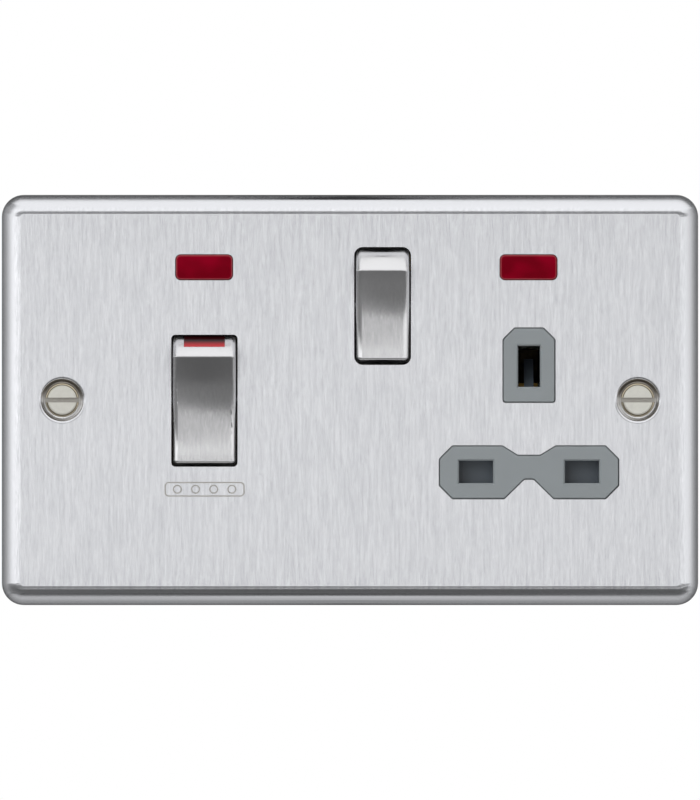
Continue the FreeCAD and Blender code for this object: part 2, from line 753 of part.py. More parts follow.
def make_rocker(label, switch, bores):
    body = new_body(label)
    reach, half = switch.reach, f"{switch.rocker_width} / 2"
    add(body, "profile", "side", f"-{half}", half, [
        (*polar(reach, switch.ridge), f"-{reach}"), polar(reach, "rocker_skirt_angle"),
        ("rocker_shoulder_depth", "rocker_shoulder_height"), ("rocker_tail_depth", "rocker_tail_height"),
        ("rocker_tail_depth", "-rocker_tail_height"), ("rocker_shoulder_depth", "-rocker_shoulder_height"),
        (*polar(reach, "-rocker_skirt_angle"), f"-{reach}"),
        (*polar(reach, f"-{switch.ridge}"), "rocker_dish_radius"),
    ])
    rocker_span = value(switch.rocker_width)
    round_edges(body, "ridges", "rocker_ridge_radius", lambda edge: (
        abs(edge.BoundBox.XLength - rocker_span) < TOLERANCE
        and abs(abs(edge.BoundBox.ZMax) - value(f"{reach} * sin({switch.ridge})")) < TOLERANCE))
    side_limit = value(f"-{reach} * cos({switch.ridge}) + rocker_wall")
    round_edges(body, "sides", switch.edge_radius, lambda edge: (
        edge.BoundBox.XLength < TOLERANCE and edge.BoundBox.YMin < side_limit and edge.BoundBox.YMax < 0))
    inner = f"({reach} - rocker_wall)"
    floor = (f"-({reach} * cos({switch.ridge})) + rocker_dish_radius"
             f" - sqrt(rocker_dish_radius^2 - ({reach} * sin({switch.ridge}))^2) + rocker_face_wall")
    behind = "rocker_shoulder_depth + rocker_hollow_rise"
    for name, sign in (("upper", ""), ("lower", "-")):
        arc = f"-{inner}" if sign == "" else inner
        near = polar(inner, f"{sign}({switch.ridge} + rocker_hollow_angle)")
        far = polar(inner, f"{sign}(rocker_skirt_angle)")
        cut(body, f"{name}_hollow", "side", f"-({half} - rocker_wall)", f"{half} - rocker_wall", [
            (*near, arc), far, (behind, far[1]),
            (behind, f"{sign}(rocker_shoulder_height + rocker_shoulder_wall)"),
            (floor, f"{sign}(rocker_tail_height + rocker_tail_wall)"),
        ])
    cut(body, "pin_bore", "side", f"-{half}", half, circle("0", "0", "pin_radius + pin_running_gap"))
    cut(body, "plunger_bores", "front", "plunger_bore_floor", "rocker_tail_depth",
        *[circle(x, "0", "plunger_radius + plunger_gap") for x in bores])
    return body


def make_flag():
    """The red strip let into the cooker rocker's upper end wall, seen only when the switch is on."""
    rocker = doc.getObject("cooker_rocker")
    inside = f"({COOKER.reach} - flag_thickness)"
    cut(rocker, "flag_recess", "side", "-flag_width / 2 - flag_gap", "flag_width / 2 + flag_gap",
        sector(inside, f"({COOKER.reach} + {CUT_MARGIN})", "flag_low_angle - flag_gap_angle",
               "flag_high_angle + flag_gap_angle"))
    flag = new_body("cooker_on_flag")
    add(flag, "strip", "side", "-flag_width / 2", "flag_width / 2",
        sector(inside, COOKER.reach, "flag_low_angle", "flag_high_angle"))
    place(flag, COOKER.x, PIVOT_Y, COOKER.z, "rocker_tilt")


def make_pivot_pin(label, switch):
    body = new_body(label)
    half = f"({switch.cheek} + cheek_wall)"
    add(body, "rod", "side", f"-{half}", half, circle("0", "0", "pin_radius"))
    round_edges(body, "ends", "pin_chamfer", lambda edge: edge.BoundBox.XLength < TOLERANCE, "Chamfer")
    place(body, switch.x, PIVOT_Y, switch.z)


def make_plunger(label, switch, x):
    """A plunger with a domed nose, in its bore in the rocker's tail."""
    body = new_body(label)
    turn("PartDesign::Revolution", body, "pin", [
        ("plunger_reach - plunger_length", "0"), ("plunger_reach", "0", "plunger_radius"),
        ("plunger_reach - plunger_radius", "plunger_radius"),
        ("plunger_reach - plunger_length", "plunger_radius"),
    ])
    place(body, f"{switch.x} + ({x})", PIVOT_Y, switch.z, "rocker_tilt")


def coil(radius, wire, height, turns):
    """A spring along +Z from z = 0, as a round wire swept along a helix."""
    climb = height - wire
    helix = Part.makeLongHelix(climb / turns, climb, radius - wire / 2)
    section = Part.Wire(Part.makeCircle(wire / 2, FreeCAD.Vector(radius - wire / 2, 0, 0),
                                        FreeCAD.Vector(0, 1, 0)))
    spring = Part.Wire(helix).makePipeShell([section], True, True)
    spring.translate(FreeCAD.Vector(0, 0, wire / 2))
    return spring


def make_plunger_spring(label, switch, x):
    room = value("plunger_reach - plunger_length - plunger_bore_floor")
    end_gap = value("spring_end_gap")
    spring = coil(value("plunger_radius - plunger_spring_gap"), value("plunger_spring_wire"),
                  room - 2 * end_gap, value("plunger_spring_turns"))
    spring.rotate(FreeCAD.Vector(), FreeCAD.Vector(1, 0, 0), -90)
    spring.translate(FreeCAD.Vector(value(x), value("plunger_bore_floor") + end_gap, 0))
    node = shape_node(label, spring)
    turned = FreeCAD.Rotation(FreeCAD.Vector(1, 0, 0), value("rocker_tilt"))
    spot = FreeCAD.Vector(value(switch.x), value(PIVOT_Y), value(switch.z))
    node.Placement = FreeCAD.Placement(spot, turned).multiply(node.Placement)


# See-saw contact arms, and the brass strips that carry them and meet them

def make_arm(label, switch, x):
    """A see-saw arm: its knuckle rocks in the saddle, and a contact tip stands on its upper end."""
    body = new_body(label)
    half = f"{switch.arm_width} / 2"
    add(body, "blade", "side", f"-{half}", half,
        box("-arm_thickness", "0", "-arm_tail", f"{switch.contact} + contact_radius + arm_end"))
    add(body, "knuckle", "side", f"-{half}", half, circle("0", "0", "arm_knuckle_radius"))
    add(body, "tip", "front", "0", "contact_thickness", circle("0", switch.contact, "contact_radius"))
    place(body, x, FULCRUM_Y, switch.z, "-arm_tilt")


def saddle_outline(z, end):
    """The side view of a strip with a saddle for the arm's knuckle at its upper end."""
    groove = "(arm_knuckle_radius + arm_knuckle_gap)"
    chord = f"sqrt({groove}^2 - saddle_front^2)"
    front = f"{FULCRUM_Y} + saddle_front"
    return [
        (front, f"{z} + saddle_height"), (front, f"{z} + {chord}", f"-{groove}"),
        (front, f"{z} - {chord}"), (front, f"{z} - saddle_height"), (STRIP_Y, f"{z} - saddle_height"),
        (STRIP_Y, end), (STRIP_BACK, end), (STRIP_BACK, f"{z} + saddle_height"),
    ]


def tip_faces(switch):
    """Where a fixed contact's face stands, so that the closed arm's tip almost meets it."""
    swing = f"{switch.contact} * sin(arm_tilt) + contact_thickness"
    return f"({FULCRUM_Y} + {swing} + contact_gap)"


def make_cooker_pole(pole):
    x = POLES[pole]
    low, high = f"{x} - cooker_arm_width / 2", f"{x} + cooker_arm_width / 2"
    make_arm(f"cooker_{pole}_arm", COOKER, x)
    bracket = new_body(f"cooker_{pole}_saddle_strip")
    add(bracket, "strip", "side", low, high, saddle_outline(COOKER.z, f"-{TERMINAL_START}"))
    fixed = new_body(f"cooker_{pole}_load_strip")
    contact_z = f"{COOKER.z} + {COOKER.contact} * cos(arm_tilt)"
    add(fixed, "strip", "front", STRIP_Y, STRIP_BACK,
        box(low, high, f"{contact_z} - contact_radius - strip_end", TERMINAL_START))
    add(fixed, "tip", "front", tip_faces(COOKER), STRIP_Y, circle(x, contact_z, "contact_radius"))


def clip_outline(back):
    """The side view of a spring clip about its axis: flared mouth, pinch, belly and closed back."""
    outer = [
        ("clip_mouth_y", "clip_mouth + clip_sheet"), ("clip_pinch_y", "clip_pinch + clip_sheet"),
        ("clip_belly_y", CLIP_HALF), (back, CLIP_HALF),
    ]
    inner = [
        ("clip_mouth_y", "clip_mouth"), ("clip_pinch_y", "clip_pinch"),
        ("clip_belly_y", "clip_belly"), (f"{back} - clip_sheet", "clip_belly"),
    ]
    lower = [(y, f"-({z})") for y, z in reversed(outer)]
    lower_inner = [(y, f"-({z})") for y, z in inner]
    return outer + lower + lower_inner + list(reversed(inner))


def make_line_clip(label, x, back):
    body = new_body(label)
    moved = [(y, f"line_z + {z}") for y, z in clip_outline(back)]
    add(body, "jaws", "side", f"{x} - line_clip_width / 2", f"{x} + line_clip_width / 2", moved)


def make_socket_contacts():
    strip_half = "strip_width / 2"
    contact_z = f"({SOCKET.z} + {SOCKET.contact} * cos(arm_tilt))"
    make_arm("socket_live_arm", SOCKET, SOCKET.x)

    feed = new_body("socket_feed_strip")
    feed_low, feed_high = [f"(-{TERMINAL_Z} {sign} strip_width / 2)" for sign in "-+"]
    add(feed, "riser", "side", f"{SOCKET.x} - {strip_half}", f"{SOCKET.x} + {strip_half}",
        saddle_outline(SOCKET.z, feed_low))
    add(feed, "link", "front", STRIP_Y, STRIP_BACK,
        box(f"{TERMINALS['live']} + terminal_width / 2", f"{SOCKET.x} + {strip_half}", feed_low, feed_high))

    live = new_body("socket_live_strip")
    band = f"({contact_z} + {strip_half})"
    add(live, "band", "front", STRIP_Y, STRIP_BACK, [
        (f"{SOCKET.x} - {strip_half}", f"{band} - strip_width"),
        (f"{LINE_X} - {strip_half}", f"{band} - strip_width"), (f"{LINE_X} - {strip_half}", "line_z"),
        (f"{LINE_X} + {strip_half}", "line_z"), (f"{LINE_X} + {strip_half}", band),
        (f"{SOCKET.x} - {strip_half}", band),
    ])
    add(live, "tip", "front", tip_faces(SOCKET), STRIP_Y, circle(SOCKET.x, contact_z, "contact_radius"))
    make_line_clip("socket_live_clip", LINE_X, STRIP_Y)

    neutral = new_body("socket_neutral_strip")
    tab = f"{TERMINALS['neutral']} - terminal_width / 2"
    low, high = f"neutral_strip_z - {strip_half}", f"neutral_strip_z + {strip_half}"
    foot = f"-{TERMINAL_START} - {strip_half}"
    add(neutral, "band", "front", TERMINAL_BACK, f"{TERMINAL_BACK} + neutral_strip_thickness", [
        (tab, foot), (f"{tab} + {strip_half}", foot),
        (f"{tab} + {strip_half}", low), (f"{NEUTRAL_X} + {strip_half}", low),
        (f"{NEUTRAL_X} + {strip_half}", f"line_z + {strip_half}"),
        (f"{NEUTRAL_X} - {strip_half}", f"line_z + {strip_half}"),
        (f"{NEUTRAL_X} - {strip_half}", high), (tab, high),
    ])
    make_line_clip("socket_neutral_clip", NEUTRAL_X, TERMINAL_BACK)

    earth = new_body("socket_earth_clip")
    turned = [(f"pin_way_x + {z}", y) for y, z in clip_outline(STRIP_Y)]
    add(earth, "jaws", "plan", "earth_z - earth_clip_width / 2", "earth_z + earth_clip_width / 2", turned)
    strip = new_body("socket_earth_strip")
    add(strip, "band", "front", STRIP_Y, STRIP_BACK,
        box(f"pin_way_x - {strip_half}", f"pin_way_x + {strip_half}", f"-{TERMINAL_START}", "earth_z"))


# Terminals with their clamp screws

def make_terminal(label, x, sign):
    """A brass block: the cable enters along Z from the outside, and the clamp screw comes in from behind."""
    body = new_body(label)
    low, high = (TERMINAL_START, TERMINAL_END) if sign == "+" else (f"-{TERMINAL_END}", f"-{TERMINAL_START}")
    add(body, "block", "plan", low, high,
        box(f"{x} - terminal_width / 2", f"{x} + terminal_width / 2", "terminal_front", TERMINAL_BACK))
    cut(body, "cable_bore", "plan", low, high, circle(x, BORE_Y, "terminal_bore_radius"))
    cut(body, "screw_hole", "front", BORE_Y, TERMINAL_BACK,
        circle(x, f"{sign}{TERMINAL_Z}", "terminal_screw_hole_radius"))


def make_earth_terminal():
    body = new_body("earth_terminal")
    add(body, "block", "plan", f"-{TERMINAL_END}", f"-{TERMINAL_START}",
        box("pin_way_x - earth_block_width / 2", "pin_way_x + earth_block_width / 2",
            "terminal_front", TERMINAL_BACK))
    cut(body, "cable_bores", "plan", f"-{TERMINAL_END}", f"-{TERMINAL_START}",
        *[circle(x, BORE_Y, "earth_bore_radius") for x in EARTH_BORES])
    cut(body, "screw_holes", "front", BORE_Y, TERMINAL_BACK,
        *[circle(x, f"-{TERMINAL_Z}", "terminal_screw_hole_radius") for x in EARTH_BORES])


SCREW_SPOTS = [(x, "0", f"{sign}{TERMINAL_Z}") for sign in "-+" for x in TERMINALS.values()]
SCREW_SPOTS += [(x, "0", f"-{TERMINAL_Z}") for x in EARTH_BORES]


def make_plate_earth_strap():
    """A folded brass strap from the earth terminal to the back of the plate."""
    body = new_body("plate_earth_strap")
    low, foot = f"-{TERMINAL_Z}", f"-{TERMINAL_Z} + strip_width"
    add(body, "fold", "side", f"{STRAP_X} - strip_width / 2", f"{STRAP_X} + strip_width / 2", [
        (SHEET_BACK, low), ("terminal_front", low), ("terminal_front", f"{low} + clip_sheet"),
        (f"{SHEET_BACK} + clip_sheet", f"{low} + clip_sheet"), (f"{SHEET_BACK} + clip_sheet", foot),
        (SHEET_BACK, foot),
    ])


def make_terminal_screws():
    body = new_body("terminal_screw_master")
    under = f"({TERMINAL_BACK} + terminal_screw_stand)"
    top = f"({under} + terminal_screw_head_height)"
    tip = f"({BORE_Y} + terminal_bore_radius)"
    turn("PartDesign::Revolution", body, "screw", [
        (tip, "0"), (top, "0"), (top, "terminal_screw_head_radius - terminal_screw_edge"),
        (f"{top} - terminal_screw_edge", "terminal_screw_head_radius"), (under, "terminal_screw_head_radius"),
        (under, "terminal_screw_radius"), (f"{tip} + screw_point", "terminal_screw_radius"),
        (tip, "terminal_screw_radius - screw_point"),
    ])
    cut(body, "driver_slot", "front", f"{top} - driver_slot_depth", top,
        centred("0", "0", f"2 * terminal_screw_head_radius + {CUT_MARGIN}", "driver_slot_width"))
    copies("terminal_screws", body, SCREW_SPOTS)


# Shutter: a crossbar over the live and neutral ways and a cam that the earth pin pushes down

def make_shutter():
    body = new_body("shutter")
    stem = "shutter_stem_width / 2"
    add(body, "crossbar", "front", "shutter_front", SHUTTER_BACK, [
        (f"pin_way_x - {SHUTTER_HALF}", SHUTTER_LOW), (f"pin_way_x + {SHUTTER_HALF}", SHUTTER_LOW),
        (f"pin_way_x + {SHUTTER_HALF}", SHUTTER_TOP), (f"pin_way_x + {stem}", SHUTTER_TOP),
        (f"pin_way_x + {stem}", "cam_front_z"), (f"pin_way_x - {stem}", "cam_front_z"),
        (f"pin_way_x - {stem}", SHUTTER_TOP), (f"pin_way_x - {SHUTTER_HALF}", SHUTTER_TOP),
    ])
    add(body, "cam", "side", "pin_way_x - cam_width / 2", "pin_way_x + cam_width / 2", [
        ("shutter_front", "cam_front_z"), ("shutter_front + cam_rise", "cam_front_z + cam_rise"),
        ("shutter_front + cam_rise", "cam_front_z + cam_rise - cam_thickness"),
        (SHUTTER_BACK, "cam_front_z - cam_root"), ("shutter_front", "cam_front_z - cam_root"),
    ])
    spring = coil(value("spring_radius"), value("spring_wire"),
                  value(f"{SHUTTER_LOW} - {SPRING_POST_Z} - 2 * spring_end_gap"), value("spring_turns"))
    spring.translate(FreeCAD.Vector(value("pin_way_x"), value(f"({SHUTTER_BACK} + shutter_front) / 2"),
                                    value(f"{SPRING_POST_Z} + spring_end_gap")))
    shape_node("shutter_spring", spring)


# Base moulding and rear cover

def wall_outline(inset):
    """The box's outline with its notch for the right fixing, moved inwards by the inset."""
    left, right = f"-(base_left - ({inset}))", f"base_right - ({inset})"
    high = f"({BASE_HALF_HEIGHT} - ({inset}))"
    notch, step = f"notch_x - ({inset})", f"(notch_half_height + ({inset}))"
    return [
        (left, f"-{high}"), (right, f"-{high}"), (right, f"-{step}"), (notch, f"-{step}"),
        (notch, step), (right, step), (right, high), (left, high),
    ]


def round_corners(body, depth):
    """Rounds the box's upright corners, which run front to back over its depth."""
    round_edges(body, "corners", "base_corner_radius", lambda edge: (
        abs(edge.BoundBox.YLength - value(depth)) < TOLERANCE
        and abs(edge.BoundBox.ZMax) > value("notch_half_height") - TOLERANCE
        and edge.BoundBox.XLength + edge.BoundBox.ZLength < TOLERANCE))


BOSSES = [("cover_boss_left_x", f"{sign}cover_boss_left_z") for sign in "-+"]
BOSSES += [("cover_boss_right_x", f"{sign}({BASE_HALF_HEIGHT} - cover_boss_inset)") for sign in "-+"]


def make_cheeks(body, name, switch):
    """Two bearing cheeks either side of a rocker, bored for its pin."""
    outlines = []
    for sign in "-+":
        near, far = switch.cheek, f"({switch.cheek} + cheek_wall)"
        edges = (far, near) if sign == "-" else (near, far)
        outlines.append(box(*[f"{switch.x} {sign} {edge}" for edge in edges],
                            f"{switch.z} - cheek_height", f"{switch.z} + cheek_height"))
    add(body, f"{name}_cheeks", "front", DECK, f"{PIVOT_Y} + cheek_behind", *outlines)
    reach = f"({switch.cheek} + cheek_wall)"
    cut(body, f"{name}_pin_holes", "side", f"{switch.x} - {reach}", f"{switch.x} + {reach}",
        circle(PIVOT_Y, switch.z, "pin_radius + pin_seat_gap"))


def make_base():
    body = new_body("base_moulding")
    edge = "2 * (plate_rim_radius + flange_inset)"
    add(body, "flange", "front", SHEET_BACK, DECK,
        centred("0", "0", f"plate_width - {edge}", f"plate_height - {edge}", "flange_corner_radius"))
    add(body, "box", "front", DECK, "cover_y", wall_outline("0"))
    round_corners(body, f"cover_y - {DECK}")
    cut(body, "hollow", "front", DECK, "cover_y", wall_outline("base_wall"))

    # walls inside the box: the partition, the terminal shelves with their barriers, and the cover bosses
    inside = f"({BASE_HALF_HEIGHT} - base_wall / 2)"
    add(body, "partition", "front", DECK, "cover_y",
        box("partition_x - base_wall / 2", "partition_x + base_wall / 2", f"-{inside}", inside))
    cut(body, "link_gap", "front", f"{STRIP_Y} - link_gap_depth", "cover_y",
        box("partition_x - base_wall", "partition_x + base_wall",
            f"-{TERMINAL_Z} - link_gap_margin", "neutral_strip_z + link_gap_margin"))
    shelf = f"{TERMINAL_START} - shelf_margin"
    for name, sign in (("upper", ""), ("lower", "-")):
        limits = (shelf, inside) if sign == "" else (f"-{inside}", f"-({shelf})")
        add(body, f"{name}_shelf", "front", "terminal_front - shelf_thickness", "terminal_front",
            box("-(base_left - base_wall / 2)", "partition_x", *limits))
        add(body, f"{name}_barrier", "front", "terminal_front - shelf_thickness", TERMINAL_BACK,
            box(f"{COOKER.x} - rib_width / 2", f"{COOKER.x} + rib_width / 2", *limits))
    add(body, "earth_shelf", "front", "terminal_front - shelf_thickness", "terminal_front",
        box("pin_way_x - earth_block_width / 2 - shelf_margin",
            "pin_way_x + earth_block_width / 2 + shelf_margin", f"-{inside}", f"-({shelf})"))
    add(body, "bosses", "front", DECK, "cover_y",
        *[centred(x, z, "boss_size", "boss_size", "boss_corner_radius") for x, z in BOSSES])
    cut(body, "boss_holes", "front", "cover_y - cover_screw_length", "cover_y",
        *[circle(x, z, "cover_screw_radius + cover_screw_seat_gap") for x, z in BOSSES])

    # ledge that carries the insert's flange, a post for the shutter's spring, and the bearing cheeks
    add(body, "insert_ledge", "front", DECK, f"{DECK} + ledge_depth", insert_flange("ledge_width"))
    cut(body, "insert_pocket", "front", SHEET_BACK, DECK, insert_flange("insert_gap"))
    cut(body, "insert_window", "front", DECK, f"{DECK} + ledge_depth", insert_flange("-insert_window_step"))
    add(body, "spring_post", "front", DECK, SHUTTER_BACK,
        box("pin_way_x - spring_post_width / 2", "pin_way_x + spring_post_width / 2",
            f"{SPRING_POST_Z} - spring_post_thickness", SPRING_POST_Z))
    make_cheeks(body, "cooker", COOKER)
    make_cheeks(body, "socket", SOCKET)

    # openings in the front: rockers, lenses and their rims, and the fixings' dimples
    for name, switch in (("cooker", COOKER), ("socket", SOCKET)):
        cut(body, f"{name}_rocker_window", "front", SHEET_BACK, f"{DECK} + ledge_depth + {CUT_MARGIN}",
            centred(switch.x, switch.z, f"{switch.width} + 2 * rocker_window_gap",
                    f"2 * ({switch.reach} + rocker_swing_gap)"))
    for name, x in (("cooker", "cooker_neon_x"), ("socket", "socket_neon_x")):
        cut(body, f"{name}_lens_recess", "front", SHEET_BACK, f"{SHEET_BACK} + lens_rim_thickness",
            lens_outline(x, "lens_rim + lens_gap"))
        cut(body, f"{name}_lens_way", "front", SHEET_BACK, DECK, lens_outline(x, "lens_gap"))
    cut(body, "fixing_ways", "front", SHEET_BACK, DECK,
        *[circle(f"({sign}fixing_spacing / 2)", "0", "dimple_radius + dimple_margin") for sign in "-+"])

    # ways for the plate's earth strap through the flange and the shelf
    left, right = [f"{STRAP_X} {sign} (strip_width / 2 + strap_gap)" for sign in "-+"]
    cut(body, "strap_window", "front", SHEET_BACK, DECK,
        box(left, right, f"-{TERMINAL_Z} - strap_gap", f"-{TERMINAL_Z} + strip_width + strap_gap"))
    cut(body, "strap_slot", "front", "terminal_front - shelf_thickness", "terminal_front",
        box(left, right, f"-{TERMINAL_Z} - strap_gap", f"-{TERMINAL_Z} + clip_sheet + strap_gap"))

    # cable windows in the upper and lower walls, open towards the cover
    load, earths = [box(f"{bores[0]} - cable_window_margin", f"{bores[-1]} + cable_window_margin",
                        "terminal_front", "cover_y") for bores in (list(TERMINALS.values()), EARTH_BORES)]
    wall = f"({BASE_HALF_HEIGHT} - base_wall)"
    cut(body, "upper_window", "plan", wall, BASE_HALF_HEIGHT, load)
    cut(body, "lower_windows", "plan", f"-{BASE_HALF_HEIGHT}", f"-{wall}", load, earths)


def make_rear_cover():
    body = new_body("rear_cover")
    add(body, "panel", "front", "cover_y", COVER_BACK, wall_outline("0"))
    round_corners(body, "cover_thickness")
    cut(body, "driver_holes", "front", "cover_y", COVER_BACK,
        *[circle(x, z, "terminal_screw_head_radius + driver_gap") for x, _, z in SCREW_SPOTS])
    cut(body, "screw_holes", "front", "cover_y", COVER_BACK,
        *[circle(x, z, "cover_screw_radius + cover_hole_gap") for x, z in BOSSES])
    # ribs that reach forward to press the strips home
    spots = [(x, z) for x in POLES.values() for z in ("low_rib_z", f"{TERMINAL_START} - high_rib_gap")]
    spots += [(SOCKET.x, "0"), (LINE_X, "live_rib_z"), ("pin_way_x", "earth_rib_z")]
    add(body, "strip_ribs", "front", STRIP_BACK, "cover_y",
        *[centred(x, z, "rib_width", "rib_length") for x, z in spots])
    add(body, "neutral_ribs", "front", f"{TERMINAL_BACK} + neutral_strip_thickness", "cover_y",
        *[centred(x, "neutral_strip_z", "rib_width", "neutral_rib_length") for x in (SOCKET.x, NEUTRAL_X)])
    add(body, "pole_barrier", "front", f"{FULCRUM_Y} - barrier_reach", "cover_y",
        centred(COOKER.x, "0", "barrier_thickness", "2 * barrier_half_height"))
    longest_notch_edge = value("base_right - notch_x")
    round_edges(body, "rear_edge", "cover_edge", lambda edge: (
        abs(edge.BoundBox.YMin - value(COVER_BACK)) < TOLERANCE and edge.Length > longest_notch_edge
        and edge.Curve.TypeId == "Part::GeomLine"), "Chamfer")


# Screws

def make_fixing_screws():
    """Slotted plate screws: a shouldered head in the dimple, a plain neck and the threaded length behind."""
    body = new_body("fixing_screw_master")
    top = f"({FRONT} + dimple_depth - fixing_head_height)"
    under = f"({FRONT} + dimple_depth)"
    rim = "fixing_head_radius"
    ledge = f"{top} + fixing_disc_height"
    disc = f"{rim} - fixing_shoulder_radius - fixing_ledge"
    turn("PartDesign::Revolution", body, "screw", [
        (top, "0"), ("fixing_length", "0"), ("fixing_length", "fixing_radius - screw_point"),
        ("fixing_length - screw_point", "fixing_radius"), ("0", "fixing_radius"), ("0", "fixing_neck_radius"),
        (under, "fixing_neck_radius"), (under, rim),
        (f"{ledge} + fixing_shoulder_radius", rim, "fixing_shoulder_radius"),
        (ledge, f"{rim} - fixing_shoulder_radius"), (ledge, disc), (top, f"{disc} - fixing_disc_draft"),
    ])
    cut(body, "driver_slot", "front", top, f"{top} + fixing_slot_depth",
        centred("0", "0", f"2 * {rim} + {CUT_MARGIN}", "fixing_slot_width"))
    copies("fixing_screws", body, [(f"{sign}fixing_spacing / 2", "0", "0") for sign in "-+"])


def make_cover_screws():
    body = new_body("cover_screw_master")
    top = f"({COVER_BACK} + cover_screw_head_height)"
    tip = "(cover_y - cover_screw_length + cover_screw_end_gap)"
    turn("PartDesign::Revolution", body, "screw", [
        (tip, "0"), (top, "0"), (top, "cover_screw_head_radius - cover_screw_crown"),
        (f"{top} - cover_screw_crown", "cover_screw_head_radius"), (COVER_BACK, "cover_screw_head_radius"),
        (COVER_BACK, "cover_screw_radius"), (f"{tip} + screw_point", "cover_screw_radius"),
        (tip, "cover_screw_radius - screw_point"),
    ])
    cut(body, "driver_slot", "front", f"{top} - driver_slot_depth", top,
        centred("0", "0", f"2 * cover_screw_head_radius + {CUT_MARGIN}", "driver_slot_width"))
    copies("cover_screws", body, [(x, "0", z) for x, z in BOSSES])


# The whole unit

make_face_plate()
make_socket_insert()
make_lens("cooker_neon_lens", "cooker_neon_x")
make_lens("socket_neon_lens", "socket_neon_x")
make_lamp("cooker_neon_lamp", "cooker_neon_x")
make_lamp("socket_neon_lamp", "socket_neon_x")
make_resistors()

cooker_rocker = make_rocker("cooker_rocker", COOKER, ["-pole_spacing / 2", "pole_spacing / 2"])
make_flag()
place(cooker_rocker, COOKER.x, PIVOT_Y, COOKER.z, "rocker_tilt")
socket_rocker = make_rocker("socket_rocker", SOCKET, ["0"])
place(socket_rocker, SOCKET.x, PIVOT_Y, SOCKET.z, "rocker_tilt")
make_pivot_pin("cooker_pivot_pin", COOKER)
make_pivot_pin("socket_pivot_pin", SOCKET)
for pole, offset in (("neutral", "-pole_spacing / 2"), ("live", "pole_spacing / 2")):
    make_plunger(f"cooker_{pole}_plunger", COOKER, offset)
    make_plunger_spring(f"cooker_{pole}_plunger_spring", COOKER, offset)
    make_cooker_pole(pole)
make_plunger("socket_plunger", SOCKET, "0")
make_plunger_spring("socket_plunger_spring", SOCKET, "0")
make_socket_contacts()

for pole in ("neutral", "live"):
    make_terminal(f"load_{pole}_terminal", TERMINALS[pole], "+")
    make_terminal(f"supply_{pole}_terminal", TERMINALS[pole], "-")
make_earth_terminal()
make_plate_earth_strap()
make_terminal_screws()
make_shutter()
make_base()
make_rear_cover()
make_fixing_screws()
make_cover_screws()

doc.recompute()
for item in doc.Objects:
    if {"Invalid", "Error"} & set(item.State):
        raise ValueError(f"{item.Label} failed: {item.State}")
for node in nodes:
    if node.Shape.isNull() or not node.Shape.isValid():
        raise ValueError(f"{node.Label} has no valid shape")

os.makedirs("parts", exist_ok=True)
for node in nodes:
    node.Shape.exportStep(f"parts/{node.Label}.step")
    print(node.Label, len(node.Shape.Solids), round(node.Shape.Volume, 1))
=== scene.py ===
import json
import math

import bpy
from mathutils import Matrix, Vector


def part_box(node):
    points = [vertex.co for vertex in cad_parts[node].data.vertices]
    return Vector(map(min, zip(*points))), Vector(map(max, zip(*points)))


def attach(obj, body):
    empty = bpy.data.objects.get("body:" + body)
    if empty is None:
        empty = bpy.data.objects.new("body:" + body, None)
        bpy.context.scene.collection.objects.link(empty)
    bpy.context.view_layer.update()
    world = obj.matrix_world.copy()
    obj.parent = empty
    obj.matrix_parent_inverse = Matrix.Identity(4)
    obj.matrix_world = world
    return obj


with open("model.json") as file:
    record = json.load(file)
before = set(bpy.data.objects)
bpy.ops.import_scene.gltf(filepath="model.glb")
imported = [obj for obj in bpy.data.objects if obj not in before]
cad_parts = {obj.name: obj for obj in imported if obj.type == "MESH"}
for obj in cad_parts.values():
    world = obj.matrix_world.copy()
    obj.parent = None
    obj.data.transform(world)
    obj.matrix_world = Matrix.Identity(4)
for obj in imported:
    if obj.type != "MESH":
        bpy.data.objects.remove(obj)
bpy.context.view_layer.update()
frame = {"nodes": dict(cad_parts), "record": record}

# Cooker control unit: a brushed plate with two rocker switches, a socket and two neon lamps.
# The front faces -Y, +X is to the right and +Z is up, in metres.

nodes = frame["nodes"]
scene = bpy.context.scene
MM = 0.001
PLATE_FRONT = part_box("face_plate")[0].y


# Materials

# A mix gives a number or a colour.
AS_NUMBER = 0
AS_COLOUR = 2


def colour(hex_code):
    """An sRGB hex value as a linear colour."""
    channels = [int(hex_code[i:i + 2], 16) / 255 for i in (1, 3, 5)]
    linear = [c / 12.92 if c <= 0.04045 else ((c + 0.055) / 1.055) ** 2.4 for c in channels]
    return (*linear, 1.0)


def add_node(owner, kind, settings=None, **links):
    """A node with its settings and inputs. An input is a number or colour, or the output that feeds it.

    An input is given by its name, or by its number as i0, i1 and so on."""
    node = owner.node_tree.nodes.new(kind)
    for name, setting in (settings or {}).items():
        setattr(node, name, setting)
    for name, source in links.items():
        key = int(name[1:]) if name[0] == "i" and name[1:].isdigit() else name.replace("_", " ")
        if isinstance(source, bpy.types.NodeSocket):
            owner.node_tree.links.new(source, node.inputs[key])
        else:
            node.inputs[key].default_value = source
    return node


def new_material(name):
    """A material with nothing in it yet."""
    made = bpy.data.materials.new(name)
    made.use_nodes = True
    made.node_tree.nodes.clear()
    return made


def surfaced(material, shader):
    """The material, with its shader joined to its surface."""
    add_node(material, "ShaderNodeOutputMaterial", Surface=shader.outputs[0])
    return material


def speckle(material, place, size, detail=2.0, roughness=0.5):
    """An uneven pattern whose patches have a real size along X, Y and Z, in millimetres."""
    scaled = add_node(material, "ShaderNodeMapping", Vector=place.outputs["Object"],
                      Scale=[1 / (length * MM) for length in size])
    return add_node(material, "ShaderNodeTexNoise", Vector=scaled.outputs["Vector"], Scale=1.0,
                    Detail=detail, Roughness=roughness).outputs["Fac"]


